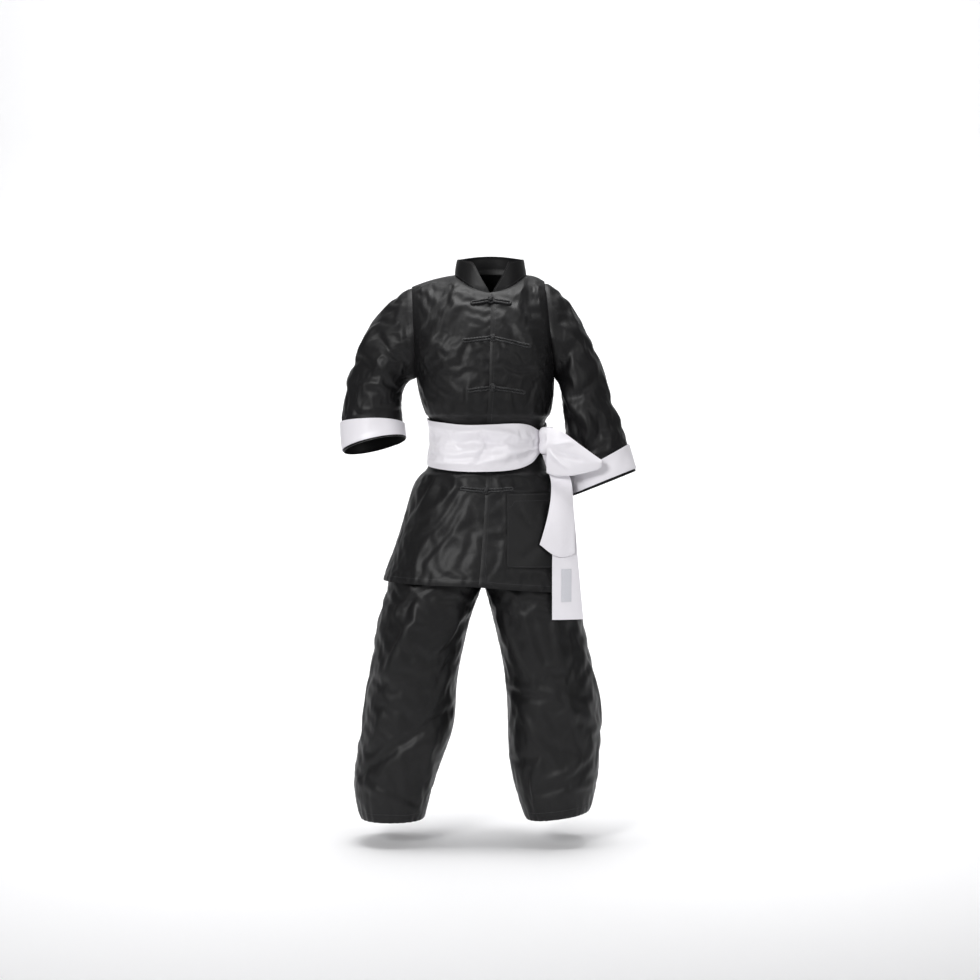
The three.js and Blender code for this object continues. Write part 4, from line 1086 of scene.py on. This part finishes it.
@dataclass
class Cloth:
    """The finished cloth that cords are laid on, found by looking along one axis."""

    tree: BVHTree

    @classmethod
    def of(cls, objects: list[bpy.types.Object]) -> "Cloth":
        """The cloth of several objects together.

        Args:
            objects: the objects.

        Returns:
            Their cloth, ready to be looked at.
        """
        points, faces = [], []
        for obj in objects:
            start = len(points)
            points += [v.co.copy() for v in obj.data.vertices]
            faces += [[start + i for i in p.vertices] for p in obj.data.polygons]
        return cls(BVHTree.FromPolygons(points, faces))

    def front(self, x: float, z: float) -> tuple[Vector, Vector]:
        """The foremost point of the cloth at a place in the front view.

        Args:
            x: how far to the right, in metres.
            z: how far up, in metres.

        Returns:
            The point and the cloth's direction there.
        """
        place, normal, _, _ = self.tree.ray_cast(Vector((x, -1.0, z)), Vector((0, 1, 0)))
        if place is None:
            return Vector((x, 0.0, z)), Vector((0, -1, 0))
        return place, normal if normal.y < 0 else -normal


@dataclass
class Frog:
    """One frog fastening: a knob of knotted cord and two doubled cords sewn to the cloth.

    knob and the two ends are (across, up) in millimetres, as are the cord's radius, the eye
    round the knob, and the knob's ball, its height off the cloth and its thinner cord.
    """

    name: str
    knob: tuple[float, float]
    right_end: tuple[float, float]
    left_end: tuple[float, float]
    radius: float = 2.0
    strands: int = 3
    eye: float = 5.4
    ball: float = 3.5
    ball_height: float = 5.2
    ball_cord: float = 1.55

    def rope(self, points: np.ndarray, ups: np.ndarray, radius: float) -> tuple[list, list]:
        """A twisted cord along a line.

        Args:
            points: the line, in metres.
            ups: a direction off the cloth at each point.
            radius: the cord's radius in millimetres.

        Returns:
            The cord's points and faces.
        """
        line = resampled(np.hstack([points, ups]), 0.0009)
        along = np.gradient(line[:, :3], axis=0)
        along /= np.linalg.norm(along, axis=1)[:, None]
        side = np.cross(along, line[:, 3:])
        side /= np.maximum(np.linalg.norm(side, axis=1), 1e-9)[:, None]
        up = np.cross(side, along)
        around, made, faces = 12, [], []
        for i, (place, a, b) in enumerate(zip(line[:, :3], side, up)):
            close = min(1.0, 0.35 + min(i, len(line) - 1 - i) * 0.35)
            for k in range(around):
                angle = 2 * math.pi * k / around
                twist = 1 + 0.11 * math.cos(self.strands * (angle - i * 0.34))
                way = a * math.cos(angle) + b * math.sin(angle)
                made.append(place + way * radius * MM * twist * close)
        for i in range(len(line) - 1):
            for k in range(around):
                first, second = i * around + k, i * around + (k + 1) % around
                faces.append((first, first + around, second + around, second))
        faces.append(tuple(range(around)))
        last = (len(line) - 1) * around
        faces.append(tuple(last + k for k in reversed(range(around))))
        return made, faces

    def doubled(self, cloth: Cloth, end: tuple[float, float], eye: float) -> tuple[list, list]:
        """One side's cord: out along the cloth, round its outer end and back.

        Args:
            cloth: what it lies on.
            end: its outer end, (across, up) in millimetres.
            eye: the radius of the eye round the knob, or 0 where the cord starts under the knob.

        Returns:
            The cord's points and faces.
        """
        start, stop = np.array(self.knob), np.array(end)
        along = (stop - start) / np.linalg.norm(stop - start)
        across = np.array([-along[1], along[0]])
        reach = float((stop - start) @ along) - self.radius
        apart = self.radius * 1.06
        path = []
        if eye:
            for angle in np.radians(np.arange(-150, 151, 25)):
                path.append(-along * eye * math.cos(angle) * 1.0 - across * eye * math.sin(angle))
            path = path[::-1]
        head = [start + p for p in path]
        first = eye * 1.15 if eye else self.radius
        out = [start + along * d + across * apart for d in np.arange(first, reach, 3.0)]
        turn = [start + along * (reach + apart * math.cos(a)) + across * apart * math.sin(a)
                for a in np.radians(np.arange(75, -76, -30))]
        back = [start + along * d - across * apart for d in np.arange(first, reach, 3.0)[::-1]]
        flat = np.array(head[len(head) // 2:] + out + turn + back + head[:len(head) // 2])
        if len(head):
            flat = smooth_line(flat, 3)
        places, ups = [], []
        for x, z in flat:
            place, normal = cloth.front(x * MM, z * MM)
            places.append(np.array(place) + np.array(normal) * self.radius * 0.8 * MM)
            ups.append(np.array(normal))
        return self.rope(np.array(places), np.array(ups), self.radius)

    def button(self, cloth: Cloth) -> tuple[list, list]:
        """The knob: cord wound over a small ball, so that its turns cross.

        Args:
            cloth: what it sits on.

        Returns:
            The knob's points and faces.
        """
        place, normal = cloth.front(self.knob[0] * MM, self.knob[1] * MM)
        outward = np.array(normal)
        centre = np.array(place) + outward * self.ball_height * MM
        side = np.cross(outward, (0, 0, 1.0))
        side /= np.linalg.norm(side)
        up = np.cross(side, outward)
        angles = np.linspace(0, 2 * math.pi, 140, endpoint=False)
        ball = self.ball * MM
        swing = 0.62 * np.sin(3 * angles)
        ring = (np.cos(2 * angles) * np.cos(swing))[:, None] * side
        ring = ring + (np.sin(2 * angles) * np.cos(swing))[:, None] * up
        ring = ring + np.sin(swing)[:, None] * outward
        line = centre + ring * (ball + 0.5 * MM * np.cos(3 * angles + 0.6)[:, None])
        closed, ups = np.vstack([line, line[:2]]), np.vstack([ring, ring[:2]])
        points, faces = self.rope(closed, ups, self.ball_cord)
        start = len(points)
        rings, around = 8, 14
        for i in range(rings + 1):
            tilt = math.pi * i / rings
            for k in range(around):
                turn = 2 * math.pi * k / around
                way = side * math.sin(tilt) * math.cos(turn) + up * math.sin(tilt) * math.sin(turn)
                points.append(centre + (way + outward * math.cos(tilt)) * ball * 0.99)
        for i in range(rings):
            for k in range(around):
                first, second = start + i * around + k, start + i * around + (k + 1) % around
                faces.append((first, first + around, second + around, second))
        return points, faces

    def build(self, cloth: Cloth) -> None:
        """Make the knob and both cords, each in its CAD node's place.

        Args:
            cloth: what they lie on.
        """
        pieces = {
            "knob": self.button(cloth),
            "loop_right": self.doubled(cloth, self.right_end, self.eye),
            "loop_left": self.doubled(cloth, self.left_end, 0.0),
        }
        for part, (points, faces) in pieces.items():
            made = new_piece(f"frog_cord_{self.name}_{part}", np.array(points), faces, CORD)
            only(made)
            bpy.ops.object.mode_set(mode="EDIT")
            bpy.ops.mesh.select_all(action="SELECT")
            bpy.ops.mesh.remove_doubles(threshold=1e-6)
            bpy.ops.mesh.normals_make_consistent(inside=False)
            bpy.ops.object.mode_set(mode="OBJECT")
            bpy.ops.object.shade_smooth()
            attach(made, "root")
            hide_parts(f"frog_{self.name}_{part}")
        log.info("frog %s: knob at %s", self.name, self.knob)


FROGS = (
    Frog("neck", (6, -34), (-30, -40), (42, -40)),
    Frog("chest_upper", (9, -104), (-46, -109), (77, -119)),
    Frog("chest_lower", (9, -194), (-36, -200), (67, -203)),
    Frog("hip", (-3, -383), (-50, -379), (45, -380)),
)


# Folds, drawn one by one


def fold(*points: tuple[float, float], width: float, height: float, skew: float = 0.0,
         side: Side = Side.FRONT, full: bool = False) -> Crease:
    """A crease through the given points, in millimetres."""
    return Crease(points, width, height, skew, side, full)


FRONT_RIGHT_CREASES = (
    fold((-52, -22), (-84, -70), (-128, -142), width=13, height=2.5, skew=0.3),
    fold((-38, -40), (-76, -96), (-122, -166), width=10, height=-2.1),
    fold((-70, -16), (-108, -60), (-138, -112), width=8, height=1.7, skew=-0.3),
    fold((-20, -62), (-48, -112), (-98, -188), width=11, height=1.5),
    fold((-120, -150), (-96, -190), (-60, -216), width=9, height=-1.7, skew=0.2),
    fold((-128, -172), (-110, -214), (-98, -262), width=9, height=2.3, skew=0.3),
    fold((-37, -182), (-40, -222), (-37, -262), width=6, height=2.1, skew=0.4, full=False),
    fold((-66, -206), (-68, -236), (-62, -262), width=6, height=-1.7),
    fold((-90, -352), (-112, -396), (-150, -452), width=9, height=2.5, skew=0.4),
    fold((-46, -356), (-92, -412), (-148, -446), width=9, height=2.7, skew=-0.35),
    fold((-40, -362), (-84, -432), (-140, -486), width=8, height=-2.3, skew=0.3),
    fold((-30, -398), (-64, -462), (-112, -520), width=10, height=2.3, skew=0.3),
    fold((-14, -420), (-34, -482), (-60, -545), width=12, height=-1.5),
    fold((-108, -470), (-128, -508), (-136, -556), width=9, height=1.9),
    fold((-62, -330), (-60, -362), (-52, -392), width=6, height=1.5),
    fold((-118, -345), (-138, -380), (-152, -420), width=7, height=-1.7),
)
FRONT_LEFT_CREASES = (
    fold((46, -30), (70, -84), (96, -150), width=13, height=2.3, skew=-0.3),
    fold((30, -50), (52, -110), (86, -176), width=10, height=-1.8),
    fold((92, -50), (104, -90), (106, -140), width=8, height=1.7),
    fold((104, -168), (86, -208), (78, -262), width=9, height=2.1, skew=0.3),
    fold((40, -206), (44, -236), (40, -262), width=6, height=1.9, skew=-0.3),
    fold((24, -150), (56, -164), (96, -160), width=7, height=-1.3),
    fold((14, -352), (20, -372), (18, -396), width=6, height=1.5),
    fold((4, -456), (12, -459), (25, -457), width=4, height=1.7),
    fold((2, -470), (14, -474), (30, -469), width=4, height=-1.5),
    fold((20, -430), (28, -470), (26, -520), width=9, height=1.7, skew=0.3),
    fold((116, -350), (136, -396), (144, -440), width=9, height=2.3),
    fold((148, -430), (156, -480), (154, -540), width=9, height=-2.1),
    fold((100, -530), (112, -548), (118, -568), width=8, height=1.7),
    fold((60, -532), (66, -550), (64, -570), width=8, height=-1.4),
    fold((96, -350), (104, -368), (118, -382), width=6, height=1.5),
)
POCKET_CREASES = (
    fold((50, -402), (78, -440), (118, -470), width=11, height=1.3, skew=0.3),
    fold((60, -516), (88, -488), (112, -484), width=9, height=-1.0),
    fold((104, -404), (100, -430), (108, -452), width=8, height=1.0),
)
BACK_CREASES = (
    fold((-96, -60), (-40, -92), (20, -96), (84, -66), width=15, height=2.7, side=Side.BACK),
    fold((-118, -120), (-60, -150), (0, -158), (70, -140), width=13, height=-2.7, side=Side.BACK),
    fold((-108, -168), (-62, -196), (-20, -204), width=10, height=2.9, skew=0.3, side=Side.BACK),
    fold((96, -150), (60, -186), (18, -200), width=10, height=2.7, side=Side.BACK),
    fold((-78, -210), (-80, -236), (-74, -262), width=7, height=2.7, side=Side.BACK),
    fold((-34, -206), (-30, -236), (-32, -262), width=6, height=-2.4, side=Side.BACK),
    fold((22, -208), (24, -238), (20, -262), width=7, height=2.7, skew=0.3, side=Side.BACK),
    fold((66, -204), (62, -232), (66, -262), width=7, height=-2.1, side=Side.BACK),
    fold((-90, -352), (-112, -420), (-128, -500), width=11, height=3.2, side=Side.BACK),
    fold((-40, -354), (-50, -430), (-46, -540), width=12, height=2.7, skew=0.3, side=Side.BACK),
    fold((10, -352), (6, -420), (16, -520), width=11, height=-2.9, side=Side.BACK),
    fold((62, -354), (80, -440), (92, -540), width=12, height=3.2, side=Side.BACK),
    fold((110, -360), (132, -430), (140, -500), width=10, height=-2.4, side=Side.BACK),
    fold((40, -360), (34, -396), (40, -430), width=6, height=2.1, side=Side.BACK),
)
SLEEVE_RIGHT_CREASES = (
    fold((-193, -64), (-232, -114), (-228, -140), (-166, -193), width=9, height=4.0, skew=0.3),
    fold((-206, -95), (-183, -127), (-153, -148), width=8, height=-3.4),
    fold((-245, -127), (-206, -161), (-172, -202), width=8, height=-3.4),
    fold((-241, -209), (-232, -191), (-211, -185), (-176, -204), width=7, height=3.2, skew=-0.3),
    fold((-153, -56), (-142, -127), width=8, height=-2.9),
    fold((-160, -214), (-176, -236), (-206, -248), width=7, height=2.4),
    fold((-252, -226), (-240, -244), (-214, -252), width=6, height=-2.0),
    fold((-160, -60), (-206, -96), (-240, -150), width=9, height=2.9, side=Side.BACK),
    fold((-150, -120), (-190, -146), (-236, -152), width=8, height=-3.2, side=Side.BACK),
    fold((-160, -180), (-200, -200), (-246, -190), width=8, height=3.2, side=Side.BACK),
    fold((-176, -236), (-210, -240), (-250, -224), width=7, height=-2.4, side=Side.BACK),
    fold((-30, -130), (0, -150), (28, -140), width=8, height=-2.9, side=Side.RIGHT),
    fold((-26, -196), (4, -184), (30, -200), width=8, height=2.7, side=Side.RIGHT),
)
SLEEVE_LEFT_CREASES = (
    fold((161, -105), (146, -140), (127, -178), width=9, height=-3.7),
    fold((129, -181), (150, -220), (174, -262), width=9, height=4.0, skew=0.3),
    fold((181, -228), (186, -270), (181, -312), width=8, height=3.2),
    fold((204, -236), (206, -272), (200, -306), width=7, height=-2.9),
    fold((132, -70), (160, -104), (186, -150), width=10, height=2.9),
    fold((196, -178), (176, -206), (152, -216), width=8, height=-2.7),
    fold((148, -236), (168, -282), (178, -322), width=7, height=-2.4),
    fold((222, -270), (226, -300), (224, -334), width=7, height=2.4),
    fold((120, -80), (160, -130), (196, -200), width=10, height=2.9, side=Side.BACK),
    fold((130, -170), (166, -196), (206, -210), width=8, height=-3.2, side=Side.BACK),
    fold((146, -230), (180, -240), (216, -256), width=8, height=3.2, side=Side.BACK),
    fold((170, -300), (200, -290), (232, -306), width=8, height=-2.7, side=Side.BACK),
    fold((-34, -210), (-8, -226), (26, -214), width=8, height=-3.2, side=Side.LEFT),
    fold((-36, -270), (-10, -256), (24, -270), width=8, height=2.7, side=Side.LEFT),
)
LEG_RIGHT_CREASES = (
    fold((-127, -585), (-162, -664), (-200, -750), width=12, height=5.2, skew=0.35),
    fold((-62, -789), (-165, -855), (-236, -915), width=10, height=-5.2, skew=0.3),
    fold((-223, -933), (-176, -960), (-120, -985), width=8, height=4.2),
    fold((-213, -943), (-170, -966), (-133, -984), width=5, height=-2.9),
    fold((-40, -590), (-78, -660), (-120, -700), width=12, height=3.9, skew=-0.3),
    fold((-16, -640), (-40, -720), (-60, -800), width=10, height=-3.9),
    fold((-66, -700), (-96, -770), (-128, -812), width=9, height=3.6, skew=0.3),
    fold((-196, -780), (-206, -830), (-226, -880), width=9, height=3.6),
    fold((-90, -820), (-110, -880), (-112, -940), width=9, height=3.6, skew=0.3),
    fold((-60, -830), (-76, -890), (-92, -950), width=8, height=-3.6),
    fold((-150, -880), (-158, -916), (-150, -952), width=7, height=2.9),
    fold((-130, -570), (-146, -600), (-150, -640), width=8, height=-2.9),
    fold((-110, -560), (-140, -640), (-160, -740), width=13, height=4.5, side=Side.BACK),
    fold((-50, -580), (-70, -680), (-100, -760), width=12, height=-4.2, side=Side.BACK),
    fold((-60, -800), (-130, -840), (-220, -850), width=10, height=4.5, skew=0.3, side=Side.BACK),
    fold((-90, -880), (-150, -900), (-226, -930), width=9, height=-4.2, side=Side.BACK),
    fold((-110, -940), (-160, -956), (-220, -950), width=8, height=3.2, side=Side.BACK),
    fold((-40, -680), (-10, -760), (-20, -850), width=10, height=3.2, side=Side.RIGHT),
    fold((20, -600), (34, -700), (20, -790), width=11, height=-3.6, side=Side.RIGHT),
)
LEG_LEFT_CREASES = (
    fold((36, -761), (72, -768), (107, -769), width=7, height=-4.2, skew=0.3),
    fold((30, -748), (70, -752), (112, -756), width=7, height=3.2),
    fold((43, -890), (70, -884), (94, -875), width=6, height=-3.6),
    fold((140, -752), (152, -786), (161, -819), width=8, height=4.8, skew=0.4),
    fold((191, -849), (176, -892), (153, -920), (77, -952), width=9, height=-5.2, skew=0.3),
    fold((196, -830), (186, -880), (150, -905), (90, -930), width=8, height=3.6),
    fold((153, -929), (178, -934), (204, -926), width=6, height=3.6),
    fold((20, -600), (52, -690), (84, -740), width=12, height=3.9, skew=-0.3),
    fold((8, -620), (14, -720), (44, -820), width=10, height=-3.6),
    fold((112, -580), (128, -660), (136, -740), width=12, height=4.2, skew=0.3),
    fold((76, -600), (92, -660), (112, -720), width=9, height=-3.1),
    fold((60, -790), (86, -840), (120, -876), width=9, height=3.6),
    fold((100, -880), (84, -920), (92, -980), width=9, height=3.1, skew=0.3),
    fold((150, -620), (160, -690), (150, -740), width=8, height=-2.9),
    fold((180, -760), (186, -800), (196, -830), width=8, height=2.9),
    fold((50, -560), (70, -650), (90, -740), width=13, height=4.2, side=Side.BACK),
    fold((110, -580), (130, -680), (146, -760), width=12, height=-4.2, side=Side.BACK),
    fold((40, -800), (110, -840), (180, -846), width=10, height=4.5, skew=0.3, side=Side.BACK),
    fold((60, -880), (120, -904), (196, -930), width=9, height=-4.2, side=Side.BACK),
    fold((80, -940), (130, -958), (190, -950), width=8, height=3.2, side=Side.BACK),
    fold((-40, -700), (-6, -780), (-14, -860), width=10, height=3.2, side=Side.LEFT),
    fold((24, -600), (36, -700), (20, -800), width=11, height=-3.6, side=Side.LEFT),
)
SASH_CREASES = (
    fold((-106, -262), (-60, -276), (0, -274), (56, -284), (104, -292), width=8, height=4.9, full=True),
    fold((-112, -282), (-60, -296), (-20, -292), (40, -300), (104, -297), width=7, height=-4.4),
    fold((-112, -304), (-70, -318), (-10, -310), (50, -306), (104, -300), width=8, height=4.4),
    fold((-112, -330), (-50, -334), (10, -326), (60, -312), (104, -303), width=8, height=5.3, full=True),
    fold((-19, -275), (-2, -301), (-28, -333), width=7, height=-4.4, skew=0.4),
    fold((34, -305), (70, -304), (102, -299), width=5, height=-4.1),
    fold((20, -338), (56, -328), (100, -308), width=7, height=-4.1),
    fold((-108, -300), (-74, -296), (-34, -310), width=7, height=3.2, skew=0.3),
    fold((-106, -262), (-40, -272), (40, -268), (100, -276), width=9, height=3.3, side=Side.BACK),
    fold((-106, -290), (-30, -300), (50, -292), (104, -300), width=8, height=-1.5, side=Side.BACK),
    fold((-106, -318), (-40, -322), (40, -330), (100, -316), width=9, height=3.5, side=Side.BACK),
    fold((0, -262), (16, -300), (4, -338), width=7, height=-1.1, side=Side.BACK),
)
BOW_CREASES = (
    fold((112, -300), (140, -296), (176, -290), width=5, height=3.4, full=True),
    fold((112, -306), (144, -318), (184, -330), width=5, height=-3.1),
    fold((114, -312), (136, -334), (160, -350), width=5, height=3.1, full=True),
)


# Studio


@dataclass
class Studio:
    """A plain pale floor that curves up behind, soft light, and the camera of the photo."""

    floor: float = -1.0515
    eye: tuple[float, float, float] = (0.004, -4.4, -0.150)
    looked_at: tuple[float, float, float] = (0.004, 0.0, -0.387)
    lens: float = 86.4

    def sweep(self) -> None:
        """Make the floor and the wall behind it as one curved sheet."""
        profile = [(-6.0, 0.0), (1.4, 0.0)]
        profile += [(1.4 + 1.6 * math.sin(a), 1.6 - 1.6 * math.cos(a))
                    for a in np.radians(np.arange(9, 91, 9))]
        profile += [(3.0, 7.0)]
        points = [(x, y, self.floor + z) for y, z in profile for x in (-7.0, 7.0)]
        faces = [(2 * i, 2 * i + 1, 2 * i + 3, 2 * i + 2) for i in range(len(profile) - 1)]
        paper = bpy.data.materials.new("studio_paper")
        paper.use_nodes = True
        shader = paper.node_tree.nodes["Principled BSDF"]
        shader.inputs["Base Color"].default_value = (0.93, 0.93, 0.94, 1.0)
        shader.inputs["Roughness"].default_value = 0.9
        mesh = bpy.data.meshes.new("studio_sweep")
        mesh.from_pydata(points, [], faces)
        made = bpy.data.objects.new("studio_sweep", mesh)
        mesh.materials.append(paper)
        mesh.polygons.foreach_set("use_smooth", [True] * len(mesh.polygons))
        bpy.context.scene.collection.objects.link(made)

    def light(self, name: str, place: tuple, target: tuple, size: float, power: float,
              spread: float = 180.0) -> None:
        """A soft square light.

        Args:
            name: its name.
            place: where it stands, in metres.
            target: what it points at.
            size: the length of its side.
            power: its strength in watts.
            spread: the full angle that it shines into, in degrees.
        """
        lamp = bpy.data.lights.new(name, "AREA")
        lamp.size, lamp.energy, lamp.spread = size, power, math.radians(spread)
        made = bpy.data.objects.new(name, lamp)
        made.location = place
        made.rotation_euler = (Vector(target) - Vector(place)).to_track_quat("-Z", "Y").to_euler()
        bpy.context.scene.collection.objects.link(made)

    def build(self) -> None:
        """Make the sweep, the lights, the pale surroundings and the camera."""
        self.sweep()
        self.light("light_key", (-1.6, -3.5, 1.0), (0.0, 0.0, -0.4), 0.9, 13.0, 70.0)
        self.light("light_fill", (2.1, -3.2, 0.5), (0.1, 0.0, -0.5), 0.7, 2.6, 70.0)
        self.light("light_top", (0.0, -0.2, 3.2), (0.0, -0.1, -1.0), 1.2, 4.0, 62.0)
        self.light("light_wall", (0.0, 0.6, 4.2), (0.0, 2.8, -0.3), 3.0, 105.0, 100.0)
        world = bpy.data.worlds.new("studio_air")
        world.use_nodes = True
        world.node_tree.nodes["Background"].inputs["Color"].default_value = (1.0, 1.0, 1.0, 1.0)
        world.node_tree.nodes["Background"].inputs["Strength"].default_value = 0.2
        bpy.context.scene.world = world
        bpy.context.scene.view_settings.view_transform = "Standard"
        data = bpy.data.cameras.new("camera")
        data.lens, data.sensor_width = self.lens, 36.0
        camera = bpy.data.objects.new("camera", data)
        camera.location = self.eye
        way = Vector(self.looked_at) - Vector(self.eye)
        camera.rotation_euler = way.to_track_quat("-Z", "Y").to_euler()
        bpy.context.scene.collection.objects.link(camera)
        bpy.context.scene.camera = camera


# The whole garment


@dataclass(frozen=True)
class Seam:
    """A row of stitches: the sheet, how far in from its edge, in millimetres, and which edge."""

    node: str
    inset: float
    edge: EdgeTest | None = None


BLACK_SEAMS = (
    Seam("front_panel_left", JACKET_HEM, jacket_hem),
    Seam("front_panel_right", JACKET_HEM, jacket_hem),
    Seam("back_panel", JACKET_HEM, jacket_hem),
    Seam("front_panel_left", 8.5, front_opening),
    Seam("pocket", 2.5),
    Seam("pocket", 14.0, pocket_mouth),
    Seam("collar", 3.0),
    Seam("trouser_leg_right", TROUSER_HEM, trouser_hem),
    Seam("trouser_leg_left", TROUSER_HEM, trouser_hem),
)
WHITE_SEAMS = (
    Seam("cuff_right", 2.4),
    Seam("cuff_left", 2.4),
    Seam("sash_tail_short", 3.0),
    Seam("sash_tail_long", 3.0),
    Seam("sash_label", 1.2),
)


def sew(sheets: dict[str, ClothSheet]) -> None:
    """Lay the rows of stitches along the hems, the front edge, the pocket, the cuffs and the sash.

    Args:
        sheets: every sheet by its node, still a single layer.
    """
    for name, thread, seams in (("stitches_black", BLACK_THREAD, BLACK_SEAMS),
                                ("stitches_white", WHITE_THREAD, WHITE_SEAMS)):
        row = StitchRow(name, thread)
        for seam in seams:
            obj = sheets[seam.node].obj
            points, _ = coordinates(obj)
            for line in contour(obj, edge_distance(obj, points, seam.edge), seam.inset * MM):
                row.add(line)
        row.build()


def main() -> None:
    """Build the garment piece by piece and light it."""
    logging.basicConfig(level=logging.INFO, format="%(message)s")
    jacket, trousers, sash = Jacket(), Trousers(), Sash()
    for part in (jacket, trousers, sash):
        part.build()
    sew({**jacket.sheets, **trousers.sheets, **sash.sheets})
    cloth = Cloth.of([jacket.sheets[n].obj for n in ("front_panel_left", "front_panel_right", "collar")])
    for part in (jacket, trousers, sash):
        part.finish()
    for frog in FROGS:
        frog.build(cloth)
    Studio().build()


if __name__ == "__main__":
    main()
